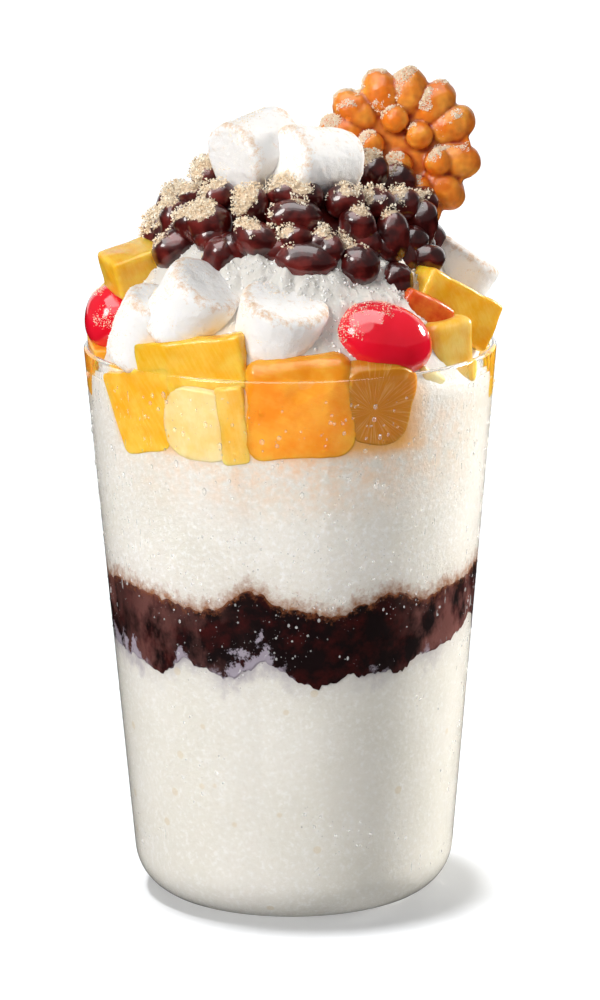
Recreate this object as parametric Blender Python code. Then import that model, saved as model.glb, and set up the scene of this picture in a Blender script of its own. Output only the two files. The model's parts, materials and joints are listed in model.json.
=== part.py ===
"""Bingsu in a footless dessert glass, +Z up, in metres.

The origin is the middle of the glass's flat underside. The glass holds milk ice, a band of sweet
red bean paste and more milk ice, which rises over the rim as a mound. On the mound lie fruit,
marshmallows, cherries, a heap of cooked red beans and a round bubble waffle.

Angles round the glass are measured from the front (-Y) towards the right (+X). Each topping is
modelled whole. Then whatever lies under it is hollowed to fit, so that touching pieces keep GAP.
"""
import math

import bmesh
import bpy
from mathutils import Euler, Matrix, Vector

MM = 0.001
GAP = 0.3 * MM                      # clearance left between pieces that touch
STEPS_ROUND = 32                    # facets round everything turned about the glass's axis

# The glass: a thin straight-sided tumbler with a round lower corner.
GLASS_HEIGHT = 125.5 * MM
MOUTH_RADIUS = 46.0 * MM
FOOT_RADIUS = 35.3 * MM             # where the straight side would meet the table
CORNER_RADIUS = 10.8 * MM
WALL = 1.6 * MM
CORNER_STEPS = 3
RIM_STEPS = 2

# What fills the glass.
PASTE_LOW = 57.3 * MM
PASTE_HIGH = 74.6 * MM
PASTE_SIDE_RISE = 5.0 * MM          # the paste's underside climbs at the left and the right
MOUND_PEAK = 157.0 * MM
MOUND_DROP = 36.0 * MM              # from the peak to the wall
MOUND_POWER = 3.2                   # how flat the top of the mound is

# The heap of beans: bean centres lie on a dome.
HEAP_MIDDLE = Vector((1.0, -0.5, 145.0)) * MM
HEAP_HALF = Vector((29.5, 25.5, 19.0)) * MM
HEAP_UNDER = 0.5                    # its underside is this much flatter than its top
HEAP_RADIUS = 32.5 * MM
HEAP_DEEP = 0.87                    # its depth as a share of its width
HEAP_PEAK = 166.0 * MM
HEAP_DROP = 22.0 * MM
FILLER_BEANS = 46
FILLER_SPACING = 7.4 * MM
HEAP_AROUND = 32
HEAP_RINGS = (12, 24, 36, 48, 60, 72, 84, 96, 115, 148)     # degrees from the top
GOLDEN_ANGLE = math.pi * (3 - math.sqrt(5))
BEANS = (                           # across, up, length, thickness in mm, turn in degrees
    (-18.0, 163.2, 6.4, 5.8, 0),
    (-21.3, 159.7, 5.4, 5.0, 0),
    (-15.2, 160.5, 7.8, 6.0, 10),
    (-17.4, 155.1, 10.0, 8.7, 10),
    (-23.7, 155.5, 6.5, 5.6, 60),
    (-25.0, 149.0, 10.4, 8.2, 30),
    (-8.0, 159.3, 8.2, 7.0, 90),
    (1.3, 161.6, 12.0, 7.1, -5),
    (1.1, 157.4, 12.0, 7.0, 0),
    (-6.3, 152.8, 10.7, 7.6, -25),
    (1.3, 152.6, 7.2, 7.0, 90),
    (3.6, 148.2, 13.5, 8.0, -5),
    (14.7, 155.0, 8.4, 7.8, 90),
    (12.2, 160.0, 8.4, 7.0, 10),
    (22.4, 151.9, 11.6, 7.0, 90),
    (28.7, 152.2, 12.2, 6.8, 75),
    (24.8, 157.6, 7.6, 6.8, 30),
    (14.8, 146.8, 9.4, 8.9, 70),
    (23.1, 142.8, 8.0, 7.0, 90),
    (29.7, 146.1, 8.6, 6.0, 0),
    (19.4, 158.7, 7.8, 6.6, 0),
    (8.4, 149.9, 8.0, 6.2, 60),
)

# The bubble waffle: a round plate of knobs, facing the front and leaning back.
WAFFLE_MIDDLE = Vector((24.6, 9.0, 167.2)) * MM
WAFFLE_RADIUS = 18.6 * MM
WAFFLE_THICKNESS = 9.0 * MM
WAFFLE_LEAN = math.radians(10)
PETALS = (163, 139, 107, 80, 52, 25, -11, -42, -67, -98, -132, -166)    # degrees, uneven
WAFFLE_AROUND = 46
WAFFLE_RINGS = (16, 31, 44, 57, 70, 83, 97, 112, 132, 156)
PETAL_LENGTH = 10.0 * MM
PETAL_WIDTH = 8.0 * MM
BUMP_RADIUS = 3.2 * MM
BUMP_RISE = 2.4 * MM                # of a bump's middle above the plate's middle
BUMPS = ((-0.9, 6.6), (-6.4, 1.1), (4.4, 3.0), (-0.2, -3.4), (4.3, -9.0), (-6.2, -6.6), (8.6, -3.0))

# Marshmallows: middle in mm, diameter, length, and the way that the axis points.
MARSHMALLOWS = {
    "marshmallow_top_left": ((-7.0, -8.0, 169.8), 16.6, 15.4, (-0.70, -0.66, -0.18)),
    "marshmallow_top_right": ((5.6, -11.0, 167.5), 15.4, 17.6, (-0.74, -0.64, 0.16)),
    "marshmallow_front_far_left": ((-30.8, -24.0, 132.8), 15.4, 16.2, (0.36, -0.30, 0.88)),
    "marshmallow_front_left": ((-21.2, -29.5, 138.8), 17.2, 15.6, (0.50, -0.36, 0.79)),
    "marshmallow_front": ((-2.0, -34.0, 136.0), 19.2, 12.4, (0.22, -0.34, 0.91)),
    "marshmallow_right": ((37.0, 8.0, 138.4), 16.0, 13.5, (0.55, 0.10, 0.83)),
    "marshmallow_back_left": ((-21.0, 30.0, 138.0), 17.0, 15.5, (-0.30, 0.55, 0.78)),
    "marshmallow_back": ((3.0, 33.5, 136.5), 18.0, 14.5, (0.20, 0.60, 0.77)),
}
MARSHMALLOW_SIDES = 12

# Cherries: middle, length, thickness in mm, tilt in the front view and turn from above, degrees.
CHERRIES = {
    "cherry_right": ((20.0, -31.5, 131.6), 22.8, 16.6, 18, 20),
    "cherry_left": ((-37.4, -5.0, 132.6), 18.0, 15.6, -20, 60),
    "cherry_back": ((26.0, 28.0, 134.0), 20.0, 16.0, 8, 40),
}
CHERRY_SIDES = 12
CHERRY_RINGS = 7

# Fruit: middle in mm, width, depth, height in mm, turns about X, Y, Z in degrees,
# width at the bottom as a share of the width at the top, edge rounding in mm, material.
FRUIT = {
    "mango_slab_right": ((34.6, -12.5, 135.4), (21.4, 11.0, 11.5), (0, 29, 30), 1.0, 0.9, "mango"),
    "mango_cube_left": ((-34.4, -8.5, 143.8), (12.6, 10.5, 9.4), (10, -14, 24), 0.92, 0.9, "mango"),
    "orange_chunk_front": ((1.8, -36.0, 118.4), (25.0, 18.0, 23.0), (-4, -3, 3), 0.94, 1.8, "peach"),
    "amber_jelly": ((17.6, -36.2, 119.0), (19.0, 14.0, 19.0), (0, 4, 26), 0.80, 4.4, "jelly"),
    "mango_sliver_front": ((-10.8, -36.0, 115.4), (6.6, 15.0, 17.4), (0, -6, -14), 0.9, 0.9, "pale_mango"),
    "pale_mango_front": ((-18.2, -37.2, 115.0), (18.6, 12.0, 16.6), (0, 6, -25), 0.78, 3.4, "pale_mango"),
    "mango_chunk_left": ((-30.6, -25.6, 115.8), (21.0, 13.0, 18.0), (0, 10, -50), 0.66, 1.4, "mango"),
    "mango_slab_front": ((-19.8, -31.5, 127.2), (26.0, 14.5, 12.0), (0, -9, -20), 1.0, 0.9, "mango"),
    "mango_wedge_right": ((27.6, -28.8, 121.8), (7.6, 8.0, 6.2), (0, 30, 43), 0.6, 0.7, "pale_mango"),
    "pale_mango_right": ((33.8, -19.2, 127.6), (9.6, 9.8, 13.4), (0, -6, 52), 0.95, 1.8, "pale_mango"),
    "mango_chunk_right": ((27.6, -20.5, 134.2), (13.0, 10.0, 10.0), (0, 12, 24), 1.0, 1.2, "peach"),
    "mango_chip_left": ((-40.0, -5.5, 122.0), (13.0, 10.0, 11.5), (0, 12, -80), 0.8, 0.9, "peach"),
    "mango_chip_right": ((40.4, -6.0, 119.6), (9.0, 11.0, 10.0), (0, -4, 82), 0.8, 0.9, "mango"),
    "mango_chunk_back_right": ((35.5, 22.0, 127.5), (15.0, 13.0, 15.0), (8, 10, 122), 0.9, 1.4, "mango"),
    "orange_chunk_back": ((14.0, 37.0, 122.0), (20.0, 14.0, 16.0), (4, -8, 160), 0.9, 1.8, "peach"),
    "mango_slab_back": ((-10.0, 37.0, 124.0), (22.0, 12.0, 15.0), (0, 8, 195), 1.0, 1.0, "mango"),
    "pale_mango_back_left": ((-31.0, 26.0, 123.0), (17.0, 13.0, 16.0), (0, -10, 230), 0.8, 2.6, "pale_mango"),
    "mango_cube_back_left": ((-34.5, 16.0, 134.0), (12.0, 12.0, 11.0), (12, 18, 250), 0.95, 1.0, "mango"),
}
FRUIT_ABOVE_RIM = ("mango_slab_right", "mango_cube_left", "mango_chunk_right", "mango_cube_back_left")


# Lumpy skins are grown about their middle, because their creases can't move along normals.
LUMPY = {"bean_heap": (HEAP_MIDDLE, 1.022), "bubble_waffle": (WAFFLE_MIDDLE, 1.06)}

# Colour, roughness and how much light passes through.
MATERIALS = {
    "glass": ((0.93, 0.96, 0.96), 0.03, 0.9),
    "milk_ice": ((0.92, 0.91, 0.88), 0.6, 0.0),
    "bean_paste": ((0.045, 0.008, 0.010), 0.35, 0.0),
    "red_bean": ((0.060, 0.010, 0.012), 0.2, 0.0),
    "waffle": ((0.66, 0.24, 0.05), 0.5, 0.0),
    "marshmallow": ((0.93, 0.92, 0.90), 0.85, 0.0),
    "cherry": ((0.72, 0.02, 0.03), 0.12, 0.0),
    "mango": ((0.93, 0.45, 0.03), 0.3, 0.0),
    "pale_mango": ((0.93, 0.62, 0.16), 0.3, 0.0),
    "peach": ((0.88, 0.30, 0.03), 0.3, 0.0),
    "jelly": ((0.48, 0.20, 0.04), 0.25, 0.0),
}


def clear_scene():
    for old in list(bpy.data.objects):
        bpy.data.objects.remove(old, do_unlink=True)


def make_materials():
    made = {}
    for name, (colour, roughness, clearness) in MATERIALS.items():
        material = bpy.data.materials.new(name)
        material.use_nodes = True
        surface = material.node_tree.nodes["Principled BSDF"]
        surface.inputs["Base Color"].default_value = (*colour, 1.0)
        surface.inputs["Roughness"].default_value = roughness
        surface.inputs["Metallic"].default_value = 0.0
        surface.inputs["Transmission Weight"].default_value = clearness
        made[name] = material
    return made


def add_object(name, shape, material, smooth_below=40):
    """Turn a bmesh into an object, shaded smooth between gently angled faces.

    It is cut into triangles first, so that a piece and its cutter bend along the same lines.
    """
    bmesh.ops.triangulate(shape, faces=shape.faces)
    bmesh.ops.recalc_face_normals(shape, faces=shape.faces)
    mesh = bpy.data.meshes.new(name)
    shape.to_mesh(mesh)
    shape.free()
    mesh.shade_smooth()
    mesh.set_sharp_from_angle(angle=math.radians(smooth_below))
    mesh.materials.append(material)
    made = bpy.data.objects.new(name, mesh)
    bpy.context.collection.objects.link(made)
    return made


# The glass and what fills it

def side_slope():
    return math.atan2(MOUTH_RADIUS - FOOT_RADIUS, GLASS_HEIGHT)


def corner_middle_radius():
    slope = side_slope()
    return FOOT_RADIUS + CORNER_RADIUS * math.tan(slope) - CORNER_RADIUS / math.cos(slope)


def wall_radius(height, inset=0.0):
    """Radius of the glass's side at a height, moved inwards by inset."""
    slope = side_slope()
    corner = CORNER_RADIUS - inset
    if height >= CORNER_RADIUS - corner * math.sin(slope):
        return FOOT_RADIUS + height * math.tan(slope) - inset / math.cos(slope)
    drop = CORNER_RADIUS - height
    return corner_middle_radius() + math.sqrt(max(0.0, corner * corner - drop * drop))


def corner_arc(inset):
    """The round lower corner from the flat base up to the straight side."""
    slope = side_slope()
    radius = CORNER_RADIUS - inset
    points = []
    for step in range(CORNER_STEPS + 1):
        angle = (math.pi / 2 - slope) * step / CORNER_STEPS
        across = corner_middle_radius() + radius * math.sin(angle)
        points.append((across, CORNER_RADIUS - radius * math.cos(angle)))
    return points


def join_columns(shape, first, columns, last):
    """Close a skin over columns of points set side by side all the way round."""
    for number, here in enumerate(columns):
        there = columns[(number + 1) % len(columns)]
        shape.faces.new((first, here[0], there[0]))
        shape.faces.new((last, there[-1], here[-1]))
        for low in range(len(here) - 1):
            shape.faces.new((here[low], here[low + 1], there[low + 1], there[low]))


def turned(name, outline, material):
    """Join the outlines at each angle. An outline runs from axis to axis as radius, height."""
    shape = bmesh.new()
    columns = []
    for step in range(STEPS_ROUND):
        angle = 2 * math.pi * step / STEPS_ROUND
        column = []
        for radius, height in outline(angle)[1:-1]:
            spot = (radius * math.sin(angle), -radius * math.cos(angle), height)
            column.append(shape.verts.new(spot))
        columns.append(column)
    first = shape.verts.new((0.0, 0.0, outline(0.0)[0][1]))
    last = shape.verts.new((0.0, 0.0, outline(0.0)[-1][1]))
    join_columns(shape, first, columns, last)
    return add_object(name, shape, material)


def glass_outline(_angle):
    rim_middle = MOUTH_RADIUS - WALL / 2
    rim_height = GLASS_HEIGHT - WALL / 2
    rim = []
    for step in range(RIM_STEPS + 1):
        angle = math.pi * step / RIM_STEPS
        rim.append((rim_middle + WALL / 2 * math.cos(angle), rim_height + WALL / 2 * math.sin(angle)))
    outside = [(0.0, 0.0)] + corner_arc(0.0)
    inside = [(0.0, WALL)] + corner_arc(WALL)
    return outside + rim + inside[::-1]


def ripple(angle, size):
    """An uneven hand-filled edge: a few waves that close after one turn."""
    waves = 0.50 * math.sin(3 * angle + 0.6) + 0.62 * math.sin(8 * angle + 2.9)
    waves += 0.34 * math.sin(13 * angle + 1.1)
    return size * waves


def paste_underside(angle, share):
    side = PASTE_SIDE_RISE * math.sin(angle) ** 6
    return PASTE_LOW + (side + ripple(angle + 0.9, 1.3 * MM)) * share ** 2


def paste_top(angle, share):
    return PASTE_HIGH + ripple(angle, 1.5 * MM) * share ** 2


def mound_height(radius):
    reach = wall_radius(GLASS_HEIGHT, WALL)
    return MOUND_PEAK - MOUND_DROP * (radius / reach) ** MOUND_POWER


def lower_ice_outline(angle):
    inset = WALL + GAP
    outline = [(0.0, WALL + GAP)] + corner_arc(inset)
    height = paste_underside(angle, 1.0) - GAP
    outline.append((wall_radius(height, inset), height))
    for share in (0.85, 0.5, 0.0):
        outline.append((wall_radius(height, inset) * share, paste_underside(angle, share) - GAP))
    return outline


def paste_outline(angle):
    inset = WALL + GAP
    low = paste_underside(angle, 1.0)
    high = paste_top(angle, 1.0)
    outline = []
    for share in (0.0, 0.5, 0.85, 1.0):
        outline.append((wall_radius(low - GAP, inset) * share, paste_underside(angle, share)))
    for share in (1.0, 0.85, 0.5, 0.0):
        outline.append((wall_radius(high, inset) * share, paste_top(angle, share)))
    return outline


def upper_ice_outline(angle):
    inset = WALL + GAP
    low = paste_top(angle, 1.0) + GAP
    outline = []
    for share in (0.0, 0.5, 0.85, 1.0):
        outline.append((wall_radius(low - GAP, inset) * share, paste_top(angle, share) + GAP))
    edge = wall_radius(GLASS_HEIGHT, inset)
    for share in (1.0, 0.96, 0.90, 0.82, 0.72, 0.6, 0.0):
        radius = edge * share
        lumps = 0.8 * MM * math.sin(5 * angle + 9 * share) * share * (1 - share) * 4
        outline.append((radius, mound_height(radius) + lumps))
    return outline


# Toppings

def marshmallow(name, middle, diameter, length, axis, material):
    """A short soft cylinder: a superellipse turned about its axis, with a slight swelling."""
    shape = bmesh.new()
    bmesh.ops.create_uvsphere(shape, u_segments=MARSHMALLOW_SIDES, v_segments=6, radius=1.0)
    for corner in shape.verts:
        up = max(-1.0, min(1.0, corner.co.z))
        along = math.copysign(1 - (1 - abs(up)) ** 1.9, up)
        outward = (1 - abs(along) ** 5) ** 0.42
        flat = Vector((corner.co.x, corner.co.y))
        turn = math.atan2(flat.y, flat.x)
        radius = outward * diameter / 2 * (1 + 0.035 * math.sin(2 * turn + 4 * middle[0]))
        if flat.length > 1e-6:
            flat.normalize()
        corner.co = Vector((flat.x * radius, flat.y * radius, along * length / 2))
    place(shape, middle, Vector(axis).to_track_quat("Z", "Y").to_matrix())
    return add_object(name, shape, material)


def cherry(name, middle, length, thickness, tilt, turn, material):
    shape = bmesh.new()
    bmesh.ops.create_uvsphere(shape, u_segments=CHERRY_SIDES, v_segments=CHERRY_RINGS, radius=0.5)
    bmesh.ops.scale(shape, verts=shape.verts, vec=(length, thickness, thickness))
    place(shape, middle, Euler((0.0, math.radians(tilt), math.radians(turn))).to_matrix())
    return add_object(name, shape, material)


def fruit_block(name, middle, size, turns, bottom_share, rounding, material):
    """A hand-cut block of fruit, narrower at the bottom, its edges a little rounded."""
    shape = bmesh.new()
    bmesh.ops.create_cube(shape, size=1.0)
    for corner in shape.verts:
        if corner.co.z < 0:
            corner.co.x *= bottom_share
            corner.co.y *= (1 + bottom_share) / 2
    bmesh.ops.scale(shape, verts=shape.verts, vec=size)
    bmesh.ops.bevel(
        shape, geom=shape.edges[:], offset=rounding, segments=1, profile=0.5,
        affect="EDGES", clamp_overlap=True)
    turn = Euler([math.radians(value) for value in turns]).to_matrix()
    place(shape, middle, turn)
    return add_object(name, shape, material, smooth_below=20)


def place(shape, middle, turn):
    bmesh.ops.transform(shape, matrix=Matrix.Translation(middle) @ turn.to_4x4(), verts=shape.verts)


def ellipsoid(middle, half, turn):
    """A lump for the wrapped solids: its middle and the matrix that makes it a unit ball."""
    stretch = turn @ Matrix.Diagonal(half)
    return Vector(middle), stretch.inverted()


def reach_along(start, way, lump):
    """How far from start along way the lump's far side lies, or 0 if it is missed."""
    middle, to_ball = lump
    offset = to_ball @ (start - middle)
    step = to_ball @ way
    half_b = offset.dot(step)
    inside = half_b * half_b - step.dot(step) * (offset.dot(offset) - 1)
    if inside <= 0:
        return 0.0
    return max(0.0, (math.sqrt(inside) - half_b) / step.dot(step))


def wrapped(name, middle, half, turn, lumps, material, around, rings, flatter_below=1.0):
    """A skin drawn over all the lumps, seen from the middle. It can be flatter underneath."""
    shape = bmesh.new()

    def skin_point(angle, ring):
        fall = math.radians(ring)
        ball = (math.sin(fall) * math.cos(angle), math.sin(fall) * math.sin(angle), math.cos(fall))
        way = (turn @ Vector([ball[i] * half[i] for i in range(3)])).normalized()
        spot = way * max(reach_along(middle, way, lump) for lump in lumps)
        if ring > 90:
            spot.z *= flatter_below
        return shape.verts.new(middle + spot)

    columns = []
    for step in range(around):
        angle = 2 * math.pi * step / around
        columns.append([skin_point(angle, ring) for ring in rings])
    join_columns(shape, skin_point(0.0, 0), columns, skin_point(0.0, 180))
    return add_object(name, shape, material, smooth_below=60)


def heap_height(across, deep):
    radius = math.hypot(across - HEAP_MIDDLE.x, deep / HEAP_DEEP)
    return HEAP_PEAK - HEAP_DROP * (radius / HEAP_RADIUS) ** 4


def front_of_heap(across, up):
    """How far forward a bean's middle lies on the dome, seen from the front."""
    radius = HEAP_RADIUS * max(0.0, (HEAP_PEAK - up) / HEAP_DROP) ** 0.25
    return -HEAP_DEEP * math.sqrt(max(0.0, radius ** 2 - (across - HEAP_MIDDLE.x) ** 2))


def bean_layout():
    """Middle, length, thickness and turn of every bean: the front ones, then the others."""
    beans = []
    for across, up, length, thickness, turn in BEANS:
        middle = Vector((across * MM, front_of_heap(across * MM, up * MM), up * MM))
        beans.append((middle, length * MM, thickness * MM, math.radians(turn)))
    for number in range(FILLER_BEANS):
        radius = HEAP_RADIUS * math.sqrt((number + 0.5) / FILLER_BEANS)
        across = HEAP_MIDDLE.x + radius * math.cos(number * GOLDEN_ANGLE)
        deep = HEAP_DEEP * radius * math.sin(number * GOLDEN_ANGLE)
        middle = Vector((across, deep, heap_height(across, deep)))
        if min((middle - bean[0]).length for bean in beans) < FILLER_SPACING:
            continue
        beans.append((middle, (9.0 + 1.5 * math.sin(3.7 * number)) * MM, 7.4 * MM, 2.1 * number))
    return beans


def bean_heap(material):
    upright = Matrix.Identity(3)
    lumps = [ellipsoid(HEAP_MIDDLE, HEAP_HALF, upright)]
    for middle, length, thickness, turn in bean_layout():
        half = (length / 2, thickness / 2, thickness / 2)
        lumps.append(ellipsoid(middle, half, Matrix.Rotation(-turn, 3, "Y")))
    return wrapped(
        "bean_heap", HEAP_MIDDLE, HEAP_HALF, upright, lumps, material, HEAP_AROUND, HEAP_RINGS,
        HEAP_UNDER)


def bubble_waffle(material):
    """Petal-like knobs round a plate, with round bumps on its front and back."""
    lean = Matrix.Rotation(-WAFFLE_LEAN, 3, "X")
    plate = WAFFLE_RADIUS - PETAL_LENGTH / 2
    lumps = [ellipsoid(WAFFLE_MIDDLE, (plate, 0.3 * WAFFLE_THICKNESS, plate), lean)]
    petal_half = (PETAL_LENGTH / 2, WAFFLE_THICKNESS / 2, PETAL_WIDTH / 2)
    for angle in PETALS:
        spin = Matrix.Rotation(-math.radians(angle), 3, "Y")
        middle = WAFFLE_MIDDLE + lean @ spin @ Vector((WAFFLE_RADIUS - PETAL_LENGTH / 2, 0.0, 0.0))
        lumps.append(ellipsoid(middle, petal_half, lean @ spin))
    for across, up in BUMPS:
        for side in (-1, 1):
            offset = Vector((across * MM, side * BUMP_RISE, up * MM))
            lumps.append(ellipsoid(WAFFLE_MIDDLE + lean @ offset, [BUMP_RADIUS] * 3, lean))
    half = (WAFFLE_RADIUS, WAFFLE_RADIUS, 0.8 * WAFFLE_THICKNESS)
    face_on = lean @ Matrix.Rotation(math.pi / 2, 3, "X")
    return wrapped(
        "bubble_waffle", WAFFLE_MIDDLE, half, face_on, lumps, material, WAFFLE_AROUND,
        WAFFLE_RINGS)


# Fitting the pieces together

def cutter_from(piece):
    """The piece grown by GAP, which hollows what it lies in."""
    shape = bmesh.new()
    shape.from_mesh(piece.data)
    shape.normal_update()
    if piece.name in LUMPY:
        middle, growth = LUMPY[piece.name]
        moves = [(corner.co - middle) * (growth - 1) for corner in shape.verts]
    else:
        moves = []
        for corner in shape.verts:
            moves.append(corner.normal * GAP * min(corner.calc_shell_factor(), 1.6))
    for corner, move in zip(shape.verts, moves):
        corner.co += move
    mesh = bpy.data.meshes.new("cut_" + piece.name)
    shape.to_mesh(mesh)
    shape.free()
    return mesh


def outside_of_glass():
    """Everything past the filling's side, up to above the toppings."""
    inset = WALL + GAP
    low = 90 * MM
    high = 170 * MM
    edge = wall_radius(GLASS_HEIGHT, inset)
    outer = 80 * MM
    profile = [(wall_radius(low, inset), low), (outer, low), (outer, high), (edge, high)]
    profile.append((edge, GLASS_HEIGHT))
    shape = bmesh.new()
    rings = []
    for step in range(STEPS_ROUND):
        angle = 2 * math.pi * step / STEPS_ROUND
        ring = []
        for radius, height in profile:
            ring.append(shape.verts.new((radius * math.sin(angle), -radius * math.cos(angle), height)))
        rings.append(ring)
    for step in range(STEPS_ROUND):
        here = rings[step]
        there = rings[(step + 1) % STEPS_ROUND]
        for low_point in range(len(profile)):
            high_point = (low_point + 1) % len(profile)
            shape.faces.new((here[low_point], here[high_point], there[high_point], there[low_point]))
    bmesh.ops.recalc_face_normals(shape, faces=shape.faces)
    mesh = bpy.data.meshes.new("cut_outside")
    shape.to_mesh(mesh)
    shape.free()
    return mesh


def box_of(mesh):
    corners = [corner.co for corner in mesh.vertices]
    low = [min(corner[i] for corner in corners) for i in range(3)]
    high = [max(corner[i] for corner in corners) for i in range(3)]
    return low, high


def boxes_meet(mesh, other):
    low, high = box_of(mesh)
    other_low, other_high = box_of(other)
    return all(low[i] < other_high[i] and other_low[i] < high[i] for i in range(3))


def carve(piece, cutters, solver="EXACT"):
    """Take the cutters that reach the piece out of it, one after another."""
    for mesh in cutters:
        if not boxes_meet(piece.data, mesh):
            continue
        tool = bpy.data.objects.new("tool", mesh)
        tool.hide_render = True
        tool.display_type = "WIRE"
        bpy.context.collection.objects.link(tool)
        cut = piece.modifiers.new("fit", "BOOLEAN")
        cut.operation = "DIFFERENCE"
        cut.solver = solver
        cut.object = tool
        bpy.context.view_layer.update()
        seen = piece.evaluated_get(bpy.context.evaluated_depsgraph_get())
        fitted = bpy.data.meshes.new_from_object(seen)
        piece.modifiers.remove(cut)
        piece.data = fitted
        bpy.data.objects.remove(tool, do_unlink=True)


def drop_crumbs(piece):
    """Cutting can leave loose crumbs: only the largest body stays."""
    shape = bmesh.new()
    shape.from_mesh(piece.data)
    left = set(shape.verts)
    bodies = []
    while left:
        body = set()
        edge_of_body = [left.pop()]
        while edge_of_body:
            corner = edge_of_body.pop()
            body.add(corner)
            for edge in corner.link_edges:
                other = edge.other_vert(corner)
                if other in left:
                    left.remove(other)
                    edge_of_body.append(other)
        bodies.append(body)
    bodies.sort(key=len)
    crumbs = [corner for body in bodies[:-1] for corner in body]
    bmesh.ops.delete(shape, geom=crumbs, context="VERTS")
    shape.to_mesh(piece.data)
    shape.free()


def build():
    clear_scene()
    materials = make_materials()
    turned("dessert_glass", glass_outline, materials["glass"])
    turned("lower_milk_ice", lower_ice_outline, materials["milk_ice"])
    turned("red_bean_paste", paste_outline, materials["bean_paste"])
    upper_ice = turned("upper_milk_ice", upper_ice_outline, materials["milk_ice"])

    on_top = []                     # in the order in which they keep their shape
    for name, (middle, diameter, length, axis) in MARSHMALLOWS.items():
        place_at = Vector(middle) * MM
        on_top.append(marshmallow(
            name, place_at, diameter * MM, length * MM, axis, materials["marshmallow"]))
    for name, (middle, length, thickness, tilt, turn) in CHERRIES.items():
        on_top.append(cherry(
            name, Vector(middle) * MM, length * MM, thickness * MM, tilt, turn, materials["cherry"]))
    on_top.append(bubble_waffle(materials["waffle"]))
    for name, (middle, size, turns, bottom_share, rounding, kind) in FRUIT.items():
        on_top.append(fruit_block(
            name, Vector(middle) * MM, Vector(size) * MM, turns, bottom_share, rounding * MM,
            materials[kind]))
    on_top.append(bean_heap(materials["red_bean"]))

    cutters = [cutter_from(piece) for piece in on_top]
    outside = outside_of_glass()
    for number, piece in enumerate(on_top):
        if piece.name in FRUIT and piece.name not in FRUIT_ABOVE_RIM:
            carve(piece, [outside])
        # EXACT leaves the lumpy heap open and, below, loses the whole ice.
        carve(piece, cutters[:number], "MANIFOLD" if piece.name == "bean_heap" else "EXACT")
    carve(upper_ice, cutters, "MANIFOLD")
    drop_crumbs(upper_ice)
    for mesh in cutters + [outside]:
        bpy.data.meshes.remove(mesh)


build()
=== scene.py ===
# %% [markdown]
# # A bingsu in its glass
#
# Bingsu is shaved milk ice served with sweet things. This one is built up in a footless glass:
# milk ice, a band of red bean paste, more milk ice, and a mound of fruit, marshmallows, candied
# cherries, cooked red beans and a small bubble waffle on top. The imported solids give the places
# and sizes. Every cell below models one food the way it could be made by hand in Blender, then
# gives it the surface that its making leaves.

# %% The frame
import math
import json

import bpy
import numpy as np
from mathutils import Matrix, Vector, noise
from mathutils.bvhtree import BVHTree

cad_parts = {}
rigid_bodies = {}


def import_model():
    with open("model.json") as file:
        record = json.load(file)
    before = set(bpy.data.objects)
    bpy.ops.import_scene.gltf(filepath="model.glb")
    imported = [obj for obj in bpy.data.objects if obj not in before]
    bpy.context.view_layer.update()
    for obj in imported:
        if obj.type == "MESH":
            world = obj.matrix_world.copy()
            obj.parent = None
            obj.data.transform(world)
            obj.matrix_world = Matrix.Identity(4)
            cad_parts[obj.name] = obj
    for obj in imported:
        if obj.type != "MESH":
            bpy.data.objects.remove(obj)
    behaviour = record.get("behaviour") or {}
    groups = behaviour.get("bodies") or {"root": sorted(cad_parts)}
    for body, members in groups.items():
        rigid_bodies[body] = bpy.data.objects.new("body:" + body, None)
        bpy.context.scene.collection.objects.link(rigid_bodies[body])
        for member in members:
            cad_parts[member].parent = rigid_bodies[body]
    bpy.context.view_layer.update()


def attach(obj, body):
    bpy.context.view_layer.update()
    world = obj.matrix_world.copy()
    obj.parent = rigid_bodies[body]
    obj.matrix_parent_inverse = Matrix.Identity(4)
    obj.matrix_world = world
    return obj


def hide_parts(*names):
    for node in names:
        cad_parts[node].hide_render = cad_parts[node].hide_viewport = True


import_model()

MM = 0.001

# %% [markdown]
# ## Tools of the bench
#
# An operator acts on everything that is selected, so each step first lays all else aside. A piece
# is finished by applying its modifiers and its place, so that its object ends at the origin.

# %% Taking up one piece
def take(piece):
    """Select this piece alone and make it the active one."""
    if bpy.context.mode != "OBJECT":
        bpy.ops.object.mode_set(mode="OBJECT")
    bpy.ops.object.select_all(action="DESELECT")
    piece.select_set(True)
    bpy.context.view_layer.objects.active = piece


def named(name):
    """Name the primitive that was just added."""
    piece = bpy.context.object
    piece.name = name
    piece.data.name = name
    return piece


def settle(piece):
    """Apply place, turn and scale, so that the object stands at the origin."""
    take(piece)
    bpy.ops.object.transform_apply(location=True, rotation=True, scale=True)


def apply_modifiers(piece):
    take(piece)
    for step in [modifier.name for modifier in piece.modifiers]:
        bpy.ops.object.modifier_apply(modifier=step)


def even_skin(piece, grain, smoothing):
    """Remesh to an even skin of small faces and relax it, which rounds every crease."""
    skin = piece.modifiers.new("even skin", "REMESH")
    skin.mode = "VOXEL"
    skin.voxel_size = grain
    relax = piece.modifiers.new("relax", "SMOOTH")
    relax.factor = 0.5
    relax.iterations = smoothing
    apply_modifiers(piece)


def uneven(piece, wave, depth, seed):
    """Push the skin in and out along its normals, in soft lumps of about this size."""
    mesh = piece.data
    offset = Vector((seed * 3.1, seed * 7.7, seed * 1.3))
    normals = [corner.normal.copy() for corner in mesh.vertices]
    for corner, normal in zip(mesh.vertices, normals):
        corner.co += normal * depth * noise.fractal(corner.co / wave + offset, 1.0, 2.0, 2)


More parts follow.
